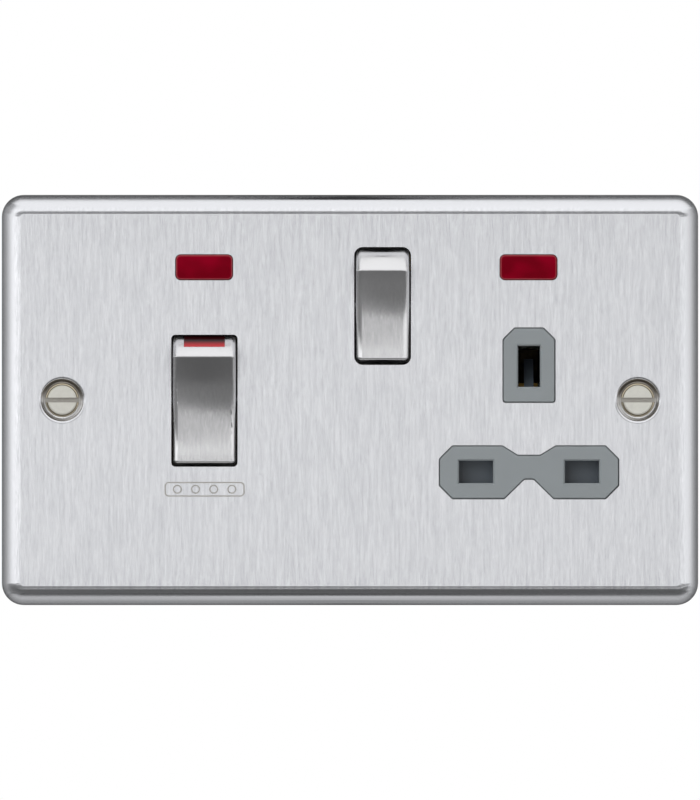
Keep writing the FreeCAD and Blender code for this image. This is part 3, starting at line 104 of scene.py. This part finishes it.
SCREW_X = 60.3 * MM
DIMPLE_RADIUS = 4.4 * MM
DIMPLE_EDGE = 0.2 * MM
DIMPLE_ROUGHNESS = 0.5
# Heights across a dimple, from the painted light at its bottom to the painted shade at its top
DIMPLE_SHADE_FROM = -1.5 * MM
DIMPLE_SHADE_FULLY = 2.0 * MM
SHEARED_ROUGHNESS = 0.55
STEEL_GLOSS_SPREAD = 0.03
SCRATCH_DEPTH = 0.004 * MM
BROAD_STREAK_WIDTH = 2.5
BROAD_STREAK_LENGTH = 3
EVEN_TONE = 0.5

# How far a face looks to the front: -1 is straight ahead and 0 is sideways.
SIDEWAYS_FROM = -0.45
SIDEWAYS_FULLY = -0.15
FLAT_FROM = -0.93
FLAT_FULLY = -0.99
LENS_EDGE_HIGHLIGHT_FROM = -0.998
LENS_EDGE_HIGHLIGHT_FULLY = -0.96


def screw_reach(material, axes):
    """How far a point lies from the axis of the nearer fixing screw, in metres."""
    side = add_node(material, "ShaderNodeMath", {"operation": "ABSOLUTE"}, i0=axes.outputs["X"])
    across = add_node(material, "ShaderNodeMath", {"operation": "SUBTRACT"}, i0=side.outputs["Value"],
                      i1=SCREW_X)
    spoke = add_node(material, "ShaderNodeCombineXYZ", X=across.outputs["Value"], Z=axes.outputs["Z"])
    return add_node(material, "ShaderNodeVectorMath", {"operation": "LENGTH"},
                    i0=spoke.outputs["Vector"]).outputs["Value"]


def brushed_steel(name, dark, light, rough, grain, length, inside):
    """Stainless steel with a vertical grain: fine scratches of uneven length run up the flat faces.

    Faces that look sideways within the inside's half width and half height are sheared or unbrushed, and
    rougher;
    they are painted dark grey, as painted shade in the gaps round the openings. The pressed dimples round
    the fixing screws have no grain, and are painted darker at the top and paler at the bottom, as painted
    shade and painted light.
    The grain fades where the sheet rolls over at its rim."""
    steel = new_material(name)
    place = add_node(steel, "ShaderNodeTexCoord")
    facing = add_node(steel, "ShaderNodeSeparateXYZ", Vector=place.outputs["Normal"])
    sideways = add_node(steel, "ShaderNodeMapRange", Value=facing.outputs["Y"],
                        From_Min=SIDEWAYS_FROM, From_Max=SIDEWAYS_FULLY)
    dull_and_shaded = sideways.outputs["Result"]
    axes = add_node(steel, "ShaderNodeSeparateXYZ", Vector=place.outputs["Object"])
    for axis, half in zip("XZ", inside):
        reach = add_node(steel, "ShaderNodeMath", {"operation": "ABSOLUTE"}, i0=axes.outputs[axis])
        within = add_node(steel, "ShaderNodeMath", {"operation": "LESS_THAN"}, i0=reach.outputs["Value"],
                          i1=half * MM)
        dull_and_shaded = add_node(steel, "ShaderNodeMath", {"operation": "MULTIPLY"}, i0=dull_and_shaded,
                        i1=within.outputs["Value"]).outputs["Value"]
    fine = speckle(steel, place, size=(grain, grain, length), roughness=0.6)
    broad = speckle(steel, place, size=(BROAD_STREAK_WIDTH * grain, BROAD_STREAK_WIDTH * grain,
                                        BROAD_STREAK_LENGTH * length))
    both = add_node(steel, "ShaderNodeMath", {"operation": "ADD"}, i0=fine, i1=broad)
    tone = add_node(steel, "ShaderNodeMapRange", Value=both.outputs["Value"], From_Min=0.6, From_Max=1.4)
    flat = add_node(steel, "ShaderNodeMapRange", Value=facing.outputs["Y"], From_Min=FLAT_FROM,
                    From_Max=FLAT_FULLY)
    streaks = add_node(steel, "ShaderNodeMix", Factor=flat.outputs["Result"], i2=EVEN_TONE,
                       i3=tone.outputs["Result"])
    tint = add_node(steel, "ShaderNodeMix", {"data_type": "RGBA"}, Factor=streaks.outputs[AS_NUMBER],
                    i6=colour(dark), i7=colour(light))
    polish = add_node(steel, "ShaderNodeMapRange", Value=fine, From_Min=0.3, From_Max=0.7,
                      To_Min=rough + STEEL_GLOSS_SPREAD, To_Max=rough - STEEL_GLOSS_SPREAD)
    # Painted shade: sideways faces within the openings are painted dark grey. Their higher roughness is
    # real.
    finish = add_node(steel, "ShaderNodeMix", {"data_type": "RGBA"}, Factor=dull_and_shaded,
                      i6=tint.outputs[AS_COLOUR], i7=colour("#565759"))
    coarse = add_node(steel, "ShaderNodeMix", Factor=dull_and_shaded, i2=polish.outputs["Result"],
                      i3=SHEARED_ROUGHNESS)
    dimple = add_node(steel, "ShaderNodeMapRange", Value=screw_reach(steel, axes),
                      From_Min=DIMPLE_RADIUS, From_Max=DIMPLE_RADIUS - DIMPLE_EDGE)
    # Painted shade and light: the dimple is painted darker towards its top and paler towards its bottom.
    upper = add_node(steel, "ShaderNodeMapRange", Value=axes.outputs["Z"], From_Min=DIMPLE_SHADE_FROM,
                     From_Max=DIMPLE_SHADE_FULLY)
    dimple_painted_shade = add_node(steel, "ShaderNodeMix", {"data_type": "RGBA"}, Factor=upper.outputs["Result"],
                     i6=colour("#f6f6f6"), i7=colour("#9b958d"))
    dimple_shaded = add_node(steel, "ShaderNodeMix", {"data_type": "RGBA"}, Factor=dimple.outputs["Result"],
                    i6=finish.outputs[AS_COLOUR], i7=dimple_painted_shade.outputs[AS_COLOUR])
    pressed = add_node(steel, "ShaderNodeMix", Factor=dimple.outputs["Result"],
                       i2=coarse.outputs[AS_NUMBER], i3=DIMPLE_ROUGHNESS)
    scratches = add_node(steel, "ShaderNodeBump", Height=fine, Distance=SCRATCH_DEPTH,
                         Strength=flat.outputs["Result"])
    return surfaced(steel, add_node(
        steel, "ShaderNodeBsdfPrincipled", Base_Color=dimple_shaded.outputs[AS_COLOUR], Metallic=1.0,
        Roughness=pressed.outputs[AS_NUMBER], Anisotropic=0.93, Normal=scratches.outputs["Normal"]))


CLOUD_SIZE = 9
PLASTIC_GLOSS_SPREAD = 0.06


def moulded(name, dark, light, rough, grit=0.35, depth=0.006):
    """A moulded thermoset or thermoplastic: one colour right through, with a mould's fine grit.

    The grit's size and depth are in millimetres, and coarser than a real mould's, so that it shows."""
    plastic = new_material(name)
    place = add_node(plastic, "ShaderNodeTexCoord")
    sand = speckle(plastic, place, size=(grit, grit, grit), detail=3.0)
    cloud = speckle(plastic, place, size=(CLOUD_SIZE, CLOUD_SIZE, CLOUD_SIZE))
    tint = add_node(plastic, "ShaderNodeMix", {"data_type": "RGBA"}, Factor=cloud, i6=colour(dark),
                    i7=colour(light))
    gloss = add_node(plastic, "ShaderNodeMapRange", Value=sand, To_Min=rough - PLASTIC_GLOSS_SPREAD,
                     To_Max=rough + PLASTIC_GLOSS_SPREAD)
    relief = add_node(plastic, "ShaderNodeBump", Height=sand, Distance=depth * MM)
    return surfaced(plastic, add_node(
        plastic, "ShaderNodeBsdfPrincipled", Base_Color=tint.outputs[AS_COLOUR],
        Roughness=gloss.outputs["Result"], IOR=1.5, Normal=relief.outputs["Normal"]))


PORE_SIZE = 0.12
PORE_DEPTH = 0.002 * MM
DULLER = 0.08
BRIGHTER = 0.04


def plated(name, dark, light, rough, wear=1.4):
    """Pressed, turned or drawn metal: bright, with faint blotches where the plating or oxide is thicker.

    The size of the blotches is in millimetres."""
    metal = new_material(name)
    place = add_node(metal, "ShaderNodeTexCoord")
    blotch = speckle(metal, place, size=(wear, wear, wear), detail=4.0, roughness=0.6)
    fine = speckle(metal, place, size=(PORE_SIZE, PORE_SIZE, PORE_SIZE))
    tone = add_node(metal, "ShaderNodeMapRange", Value=blotch, From_Min=0.35, From_Max=0.65)
    tint = add_node(metal, "ShaderNodeMix", {"data_type": "RGBA"}, Factor=tone.outputs["Result"],
                    i6=colour(dark), i7=colour(light))
    polish = add_node(metal, "ShaderNodeMapRange", Value=blotch, From_Min=0.3, From_Max=0.7,
                      To_Min=rough + DULLER, To_Max=rough - BRIGHTER)
    relief = add_node(metal, "ShaderNodeBump", Height=fine, Distance=PORE_DEPTH)
    return surfaced(metal, add_node(
        metal, "ShaderNodeBsdfPrincipled", Base_Color=tint.outputs[AS_COLOUR], Metallic=1.0,
        Roughness=polish.outputs["Result"], Normal=relief.outputs["Normal"]))


DISC_RADIUS = 3.0 * MM
HEAD_RADIUS = 3.75 * MM
SLOT_HALF_HEIGHT = 0.52 * MM
SLOT_FLOOR = PLATE_FRONT + 0.12 * MM

# Painted shade across the rim, from the disc's edge outwards: a dark groove, a pale ridge and the dark
# outer edge
RIM_PAINTED_SHADE = ((0.12, "#7c7468"), (0.3, "#7c7468"), (0.42, "#d6ccba"), (0.62, "#d6ccba"),
               (0.75, "#6a6156"))


def screw_nickel():
    """Nickel plated steel of the fixing screws: a clean disc, a rim painted with rings of shade, and a
    slot with saw marks that is rougher and painted darker, as painted shade.
    """
    nickel = new_material("nickel plated screw")
    place = add_node(nickel, "ShaderNodeTexCoord")
    axes = add_node(nickel, "ShaderNodeSeparateXYZ", Vector=place.outputs["Object"])
    rim = add_node(nickel, "ShaderNodeMapRange", Value=screw_reach(nickel, axes), From_Min=DISC_RADIUS,
                   From_Max=HEAD_RADIUS)
    ring = add_node(nickel, "ShaderNodeValToRGB", Fac=rim.outputs["Result"])
    # The ramp darkens the disc's colour in rings: painted shade on the rim.
    ring.color_ramp.elements[0].color = colour("#ffffff")
    ring.color_ramp.elements[1].color = colour("#6a6156")
    for stop, shade in RIM_PAINTED_SHADE:
        ring.color_ramp.elements.new(stop).color = colour(shade)
    height = add_node(nickel, "ShaderNodeMath", {"operation": "ABSOLUTE"}, i0=axes.outputs["Z"])
    level = add_node(nickel, "ShaderNodeMath", {"operation": "LESS_THAN"}, i0=height.outputs["Value"],
                     i1=SLOT_HALF_HEIGHT)
    deep = add_node(nickel, "ShaderNodeMath", {"operation": "GREATER_THAN"}, i0=axes.outputs["Y"],
                    i1=SLOT_FLOOR)
    slot = add_node(nickel, "ShaderNodeMath", {"operation": "MULTIPLY"}, i0=level.outputs["Value"],
                    i1=deep.outputs["Value"])
    blotch = speckle(nickel, place, size=(1.1, 1.1, 1.1), detail=4.0, roughness=0.6)
    saw = speckle(nickel, place, size=(1.2, 0.1, 0.12))
    disc = add_node(nickel, "ShaderNodeMix", {"data_type": "RGBA"}, Factor=blotch,
                    i6=colour("#d0cfc7"), i7=colour("#eae9e1"))
    edge = add_node(nickel, "ShaderNodeMix", {"data_type": "RGBA", "blend_type": "MULTIPLY"},
                    Factor=1.0, i6=disc.outputs[AS_COLOUR], i7=ring.outputs["Color"])
    # Painted shade: the slot's floor is painted darker than the disc, with random saw marks. Its higher
    # roughness is its own.
    shaded_saw_marks = add_node(nickel, "ShaderNodeMix", {"data_type": "RGBA"}, Factor=saw, i6=colour("#74716b"),
                    i7=colour("#bebbb4"))
    tint = add_node(nickel, "ShaderNodeMix", {"data_type": "RGBA"}, Factor=slot.outputs["Value"],
                    i6=edge.outputs[AS_COLOUR], i7=shaded_saw_marks.outputs[AS_COLOUR])
    polish = add_node(nickel, "ShaderNodeMapRange", Value=slot.outputs["Value"], To_Min=0.28,
                      To_Max=0.45)
    return surfaced(nickel, add_node(
        nickel, "ShaderNodeBsdfPrincipled", Base_Color=tint.outputs[AS_COLOUR], Metallic=1.0,
        Roughness=polish.outputs["Result"]))


FLAG_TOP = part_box("cooker_on_flag")[1].z
FLAG_DARK_FROM = FLAG_TOP - 2.35 * MM
FLAG_DARK_FULLY = FLAG_TOP - 1.35 * MM
FLAG_GRIT_DEPTH = 0.003 * MM


def flag_plastic():
    """Red moulded polycarbonate of the flag, which is dark at its top, in the plate's shade."""
    plastic = new_material("red moulded polycarbonate")
    place = add_node(plastic, "ShaderNodeTexCoord")
    axes = add_node(plastic, "ShaderNodeSeparateXYZ", Vector=place.outputs["Object"])
    dark = add_node(plastic, "ShaderNodeMapRange", Value=axes.outputs["Z"], From_Min=FLAG_DARK_FROM,
                    From_Max=FLAG_DARK_FULLY)
    sand = speckle(plastic, place, size=(0.3, 0.3, 0.3), detail=3.0)
    gloss = add_node(plastic, "ShaderNodeMapRange", Value=sand, To_Min=0.24, To_Max=0.36)
    tint = add_node(plastic, "ShaderNodeMix", {"data_type": "RGBA"}, Factor=dark.outputs["Result"],
                    i6=colour("#a6282e"), i7=colour("#240406"))
    relief = add_node(plastic, "ShaderNodeBump", Height=sand, Distance=FLAG_GRIT_DEPTH)
    return surfaced(plastic, add_node(
        plastic, "ShaderNodeBsdfPrincipled", Base_Color=tint.outputs[AS_COLOUR],
        Roughness=gloss.outputs["Result"], IOR=1.5, Specular_IOR_Level=0.3,
        Normal=relief.outputs["Normal"]))


def tinted_lens():
    """Red tinted polycarbonate over a lamp: deep red, unevenly bright, with a painted highlight along its
    thin edge.
    """
    lens = new_material("tinted polycarbonate")
    place = add_node(lens, "ShaderNodeTexCoord")
    glow = speckle(lens, place, size=(6.0, 20.0, 4.0), detail=1.0)
    tone = add_node(lens, "ShaderNodeMapRange", Value=glow, From_Min=0.38, From_Max=0.64)
    face = add_node(lens, "ShaderNodeMix", {"data_type": "RGBA"}, Factor=tone.outputs["Result"],
                    i6=colour("#620010"), i7=colour("#780018"))
    facing = add_node(lens, "ShaderNodeSeparateXYZ", Vector=place.outputs["Normal"])
    edge = add_node(lens, "ShaderNodeMapRange", Value=facing.outputs["Y"], From_Min=LENS_EDGE_HIGHLIGHT_FROM,
                    From_Max=LENS_EDGE_HIGHLIGHT_FULLY)
    # Painted highlight: faces along the lens's rounded edge, which turn from the front, are painted paler.
    tint = add_node(lens, "ShaderNodeMix", {"data_type": "RGBA"}, Factor=edge.outputs["Result"],
                    i6=face.outputs[AS_COLOUR], i7=colour("#8c3a40"))
    return surfaced(lens, add_node(
        lens, "ShaderNodeBsdfPrincipled", Base_Color=tint.outputs[AS_COLOUR], Roughness=0.2, IOR=1.58,
        Specular_IOR_Level=0.015))


def lamp_glass():
    """Drawn soda glass of a neon bulb: clear, with a faint grey tint."""
    glass = new_material("drawn glass")
    place = add_node(glass, "ShaderNodeTexCoord")
    ripple = speckle(glass, place, size=(2.0, 2.0, 2.0))
    wave = add_node(glass, "ShaderNodeMapRange", Value=ripple, To_Min=0.02, To_Max=0.08)
    return surfaced(glass, add_node(
        glass, "ShaderNodeBsdfPrincipled", Base_Color=colour("#e6e8e8"),
        Roughness=wave.outputs["Result"], IOR=1.5, Transmission_Weight=0.85))


def printed_ink():
    """Screen-printed grey ink, thin and slightly uneven."""
    ink = new_material("screen printed ink")
    place = add_node(ink, "ShaderNodeTexCoord")
    uneven = speckle(ink, place, size=(0.15, 0.15, 0.15), detail=3.0)
    tint = add_node(ink, "ShaderNodeMix", {"data_type": "RGBA"}, Factor=uneven, i6=colour("#7d7b77"),
                    i7=colour("#94928d"))
    return surfaced(ink, add_node(
        ink, "ShaderNodeBsdfPrincipled", Base_Color=tint.outputs[AS_COLOUR], Roughness=0.6))


# Real scratches are finer. They are drawn about a fifth of a millimetre wide and two millimetres
# long, so that they show.
plate_steel = brushed_steel("brushed stainless steel", "#bcbdc1", "#d5d6d9", rough=0.24, grain=0.19,
                            length=1.9, inside=(66, 36.5))
rocker_steel = brushed_steel("brushed steel cap", "#c0c0c2", "#d2d2d3", rough=0.22, grain=0.17,
                             length=1.8, inside=(60, 40))
# The clips deep in the pin ways are painted nearly black, as painted shade in the deep pin ways.
bronze = plated("phosphor bronze in painted shade", "#211c15", "#383023", rough=0.42)
# The clamp and cover screws, pins and other plain steel have a cool, fairly bright plating.
zinc = plated("zinc plated steel", "#a9abae", "#d2d4d8", rough=0.3)

FINISHES = {
    "brushed_steel_plate": plate_steel,
    "rocker_steel": rocker_steel,
    # Even mid grey with a soft sheen
    "grey_insert": moulded("grey moulded polycarbonate", "#727779", "#777d80", rough=0.34),
    # Off-white and slightly glossy
    "base_plastic": moulded("white moulded urea", "#dcdbd4", "#e5e4df", rough=0.38, grit=0.5),
    # Dark blue grey and matt
    "shutter_plastic": moulded("dark moulded acetal", "#3e464e", "#434b53", rough=0.5),
    # Milky cream
    "plunger_plastic": moulded("natural moulded nylon", "#d2cdbc", "#dbd6c7", rough=0.35, grit=0.3),
    "red_lens": tinted_lens(),
    "red_flag": flag_plastic(),
    "lamp_glass": lamp_glass(),
    # Tan lacquer
    "resistor_ceramic": moulded("resistor ceramic", "#a98c60", "#b29669", rough=0.45, grit=0.2),
    # Warm yellow, with darker blotches of oxide
    "brass_contacts": plated("pressed brass", "#a98243", "#d8b566", rough=0.28),
    "steel_pin": zinc,
    # Cool grey and bright, as drawn wire is
    "spring_steel": plated("drawn spring wire", "#8e9092", "#b6b8ba", rough=0.24, wear=0.6),
    "plated_screws": zinc,
}


def dress(name, finish):
    """Gives a piece its material."""
    slots = nodes[name].material_slots
    if not slots:
        nodes[name].data.materials.append(finish)
    for slot in slots:
        slot.material = finish


for row in frame["record"]["subparts"]:
    dress(row["node"], FINISHES[row["material_slot"]])
dress("fixing_screws", screw_nickel())
for clip in ("socket_earth_clip", "socket_live_clip", "socket_neutral_clip"):
    dress(clip, bronze)


# Printed sign of a hob below the cooker switch: a thin outline with four rings

SIGN_X = -30.45 * MM
SIGN_Z = -18.7 * MM
SIGN_WIDTH = 16.8 * MM
SIGN_HEIGHT = 3.1 * MM
SIGN_CORNER = 0.9 * MM
CORNER_SEGMENTS = 8
SIGN_LINE = 0.28 * MM
RING_COUNT = 4
RING_RADIUS = 0.95 * MM
RING_SIDES = 48
RING_SPACING = 3.8 * MM
FIRST_RING_X = SIGN_X - (RING_COUNT - 1) / 2 * RING_SPACING
INK_DEPTH = 0.02 * MM


def outlined(name):
    """Turns the new flat shape into a printed line along its edge, standing on the plate."""
    bpy.ops.object.mode_set(mode="EDIT")
    bpy.ops.mesh.select_all(action="SELECT")
    bpy.ops.mesh.inset(thickness=SIGN_LINE)
    bpy.ops.mesh.delete(type="FACE")
    bpy.ops.mesh.select_all(action="SELECT")
    bpy.ops.mesh.extrude_region_move(TRANSFORM_OT_translate={"value": (0, -INK_DEPTH, 0)})
    bpy.ops.mesh.select_all(action="SELECT")
    bpy.ops.mesh.normals_make_consistent(inside=False)
    bpy.ops.object.mode_set(mode="OBJECT")
    bpy.context.object.name = name
    return bpy.context.object


upright = (math.pi / 2, 0, 0)
bpy.ops.object.select_all(action="DESELECT")
bpy.ops.mesh.primitive_plane_add(size=1.0, location=(SIGN_X, PLATE_FRONT, SIGN_Z), rotation=upright)
bpy.context.object.scale = (SIGN_WIDTH, SIGN_HEIGHT, 1.0)
bpy.ops.object.transform_apply(location=True, rotation=True, scale=True)
bpy.ops.object.mode_set(mode="EDIT")
bpy.ops.mesh.select_all(action="SELECT")
bpy.ops.mesh.bevel(affect="VERTICES", offset=SIGN_CORNER, segments=CORNER_SEGMENTS)
bpy.ops.object.mode_set(mode="OBJECT")
sign = outlined("hob_sign")

bpy.ops.object.select_all(action="DESELECT")
bpy.ops.mesh.primitive_circle_add(vertices=RING_SIDES, radius=RING_RADIUS, fill_type="NGON",
                                  rotation=upright, location=(FIRST_RING_X, PLATE_FRONT, SIGN_Z))
bpy.ops.object.transform_apply(location=True, rotation=True, scale=True)
ring = outlined("hob_ring")
rings = [ring]
for count in range(1, RING_COUNT):
    bpy.ops.object.select_all(action="DESELECT")
    ring.select_set(True)
    bpy.context.view_layer.objects.active = ring
    bpy.ops.object.duplicate(linked=False)
    bpy.ops.transform.translate(value=(count * RING_SPACING, 0, 0))
    bpy.ops.object.transform_apply(location=True, rotation=True, scale=True)
    rings.append(bpy.context.object)

bpy.ops.object.select_all(action="DESELECT")
for piece in rings:
    piece.select_set(True)
sign.select_set(True)
bpy.context.view_layer.objects.active = sign
bpy.ops.object.join()
sign.data.materials.append(printed_ink())
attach(sign, "base")


# Studio: the paper cards that the metal reflects, soft lamps, floor and camera

def studio_card(name, level, azimuth, elevation, width, height, distance):
    """A flat card facing the object, which only reflections see. Azimuth 0 is in front of the plate."""
    turn = math.radians(azimuth)
    rise = math.radians(elevation)
    aim = Vector((math.sin(turn) * math.cos(rise), -math.cos(turn) * math.cos(rise), math.sin(rise)))
    centre = distance * aim
    facing_object = (-centre).to_track_quat("Z", "Y").to_euler()
    bpy.ops.object.select_all(action="DESELECT")
    bpy.ops.mesh.primitive_plane_add(size=1.0, location=centre, rotation=facing_object)
    card = bpy.context.object
    card.name = name
    card.scale = (width, height, 1.0)
    bpy.ops.object.transform_apply(location=True, rotation=True, scale=True)
    paper = new_material(name + " paper")
    card.data.materials.append(surfaced(paper, add_node(paper, "ShaderNodeEmission", Strength=level)))
    for ray in ("camera", "diffuse", "shadow", "transmission", "volume_scatter"):
        setattr(card, "visible_" + ray, False)


def band(name, level, low, high, width=6.0, distance=2.0):
    """A card across the studio that covers a band of elevations, in degrees."""
    height = 2 * distance * math.tan(math.radians(high - low) / 2)
    studio_card(name, level, 0, (low + high) / 2, width, height, distance)


def side(name, level, first, last, height=3.0, distance=2.6):
    """An upright card that covers a stretch of azimuths, in degrees, at the plate's height."""
    width = 2 * distance * math.tan(math.radians(last - first) / 2)
    studio_card(name, level, (first + last) / 2, 0, width, height, distance)


def soft_lamp(name, centre, size, power):
    """A soft lamp aimed at the object. Reflections see the cards instead."""
    lamp = bpy.data.lights.new(name, "AREA")
    lamp.shape = "RECTANGLE"
    lamp.size, lamp.size_y = size
    lamp.energy = power
    lamp_object = bpy.data.objects.new(name, lamp)
    lamp_object.location = centre
    lamp_object.rotation_euler = (-lamp_object.location).to_track_quat("-Z", "Y").to_euler()
    lamp_object.visible_glossy = False
    scene.collection.objects.link(lamp_object)


FLOOR_Z = -0.11
FLOOR_SIZE = 0.6
bpy.ops.object.select_all(action="DESELECT")
bpy.ops.mesh.primitive_plane_add(size=FLOOR_SIZE, location=(0, 0, FLOOR_Z))
floor = bpy.context.object
floor.name = "floor"
bpy.ops.object.transform_apply(location=True, rotation=True, scale=True)
floor_paper = new_material("studio paper")
floor.data.materials.append(surfaced(floor_paper, add_node(
    floor_paper, "ShaderNodeBsdfPrincipled", Base_Color=colour("#f4f4f4"), Roughness=0.9)))
floor.visible_glossy = False

# The background is white where it is seen directly, in gloss or through glass, and lights the object less.
AMBIENT = 0.4
BACKGROUND = 1.0
world = bpy.data.worlds.new("studio")
scene.world = world
world.use_nodes = True
world.node_tree.nodes.clear()
rays = add_node(world, "ShaderNodeLightPath")
seen = add_node(world, "ShaderNodeMath", {"operation": "MAXIMUM"}, i0=rays.outputs["Is Camera Ray"],
                i1=rays.outputs["Is Glossy Ray"])
shown = add_node(world, "ShaderNodeMath", {"operation": "MAXIMUM"}, i0=seen.outputs["Value"],
                 i1=rays.outputs["Is Transmission Ray"])
brightness = add_node(world, "ShaderNodeMapRange", Value=shown.outputs["Value"], To_Min=AMBIENT,
                      To_Max=BACKGROUND)
sky = add_node(world, "ShaderNodeBackground", Color=(1, 1, 1, 1), Strength=brightness.outputs["Result"])
add_node(world, "ShaderNodeOutputWorld", Surface=sky.outputs["Background"])

# Bands across the studio, over the top and under the bottom: name, level, lowest and highest
# elevation
BANDS = (
    ("dark gap between the lamps", 0.2, 4.5, 18),
    ("overhead lamps", 1.42, 18, 95),
    ("ceiling behind", 0.06, 95, 132),
    ("dark room below", 0.37, -22, -19),
    ("dark room under it", 0.29, -26, -22),
    ("dark room lower down", 0.22, -31, -26),
    ("dark room near the floor", 0.19, -40, -31),
    ("dark room at the table", 0.13, -62, -40),
    ("table", 0.82, -80, -62),
    ("table edge", 0.72, -95, -80),
    ("table behind", 0.42, -132, -95),
)

# Single cards: name, level, azimuth, elevation, width, height and distance. The sill and its shade
# stand near the plate, so that only its lower rim shows them.
CARDS = (
    ("sill", 0.25, 0, -25.6, 0.6, 0.019, 0.135),
    ("shade under the sill", 0.15, 0, -39.3, 0.6, 0.05, 0.155),
    ("left window", 1.72, -31, 15, 1.95, 1.5, 2.3),
    ("dark lower left", 0.25, -46, -27, 2.3, 1.2, 1.6),
    ("dark upper left", 0.45, -84, 33, 1.1, 1.1, 1.5),
    ("bright lower right", 1.35, 42, -9, 1.9, 0.5, 1.6),
)

# Upright cards at the plate's height: name, level, and the azimuths where each begins and ends
SIDES = (
    ("left curtain", 1.45, -62, -48),
    ("left curtain edge", 1.15, -72, -62),
    ("left wall", 0.77, -88, -72),
    ("left wall behind", 0.48, -105, -88),
    ("left corner behind", 0.36, -130, -105),
    ("right window", 1.4, 9, 45),
    ("right curtain", 1.16, 45, 60),
    ("right wall near", 1.0, 60, 75),
    ("right wall", 0.72, 75, 90),
    ("right wall behind", 0.42, 90, 108),
    ("right corner behind", 0.24, 108, 130),
)

band("front wall", 0.76, -19, 4.5, width=8.0, distance=2.9)
for name, level, low, high in BANDS:
    band(name, level, low, high)
for name, level, azimuth, elevation, width, height, distance in CARDS:
    studio_card(name, level, azimuth, elevation, width, height, distance)
for name, level, first, last in SIDES:
    side(name, level, first, last)
studio_card("wall behind", 0.12, azimuth=180, elevation=0, width=10.0, height=10.0, distance=2.8)

LAMP_POWER = 7.0
soft_lamp("overhead softbox", centre=(0, -0.5, 0.9), size=(1.2, 0.6), power=LAMP_POWER)
soft_lamp("front fill", centre=(-0.5, -1.0, 0.3), size=(0.8, 0.8), power=LAMP_POWER)

# Camera: straight on and far off, so that the front shows next to no perspective

CAMERA_DISTANCE = 4.0
SENSOR = 36.0
VIEW_HEIGHT = 167.58 * MM
NEAREST = 0.05
FARTHEST = 20
camera_data = bpy.data.cameras.new("camera")
camera = bpy.data.objects.new("camera", camera_data)
camera.location = (0, PLATE_FRONT - CAMERA_DISTANCE, 0)
camera.rotation_euler = upright
camera_data.sensor_width = SENSOR
camera_data.lens = SENSOR * CAMERA_DISTANCE / VIEW_HEIGHT
camera_data.clip_start = NEAREST
camera_data.clip_end = FARTHEST
scene.collection.objects.link(camera)
scene.camera = camera

scene.view_settings.view_transform = "Standard"
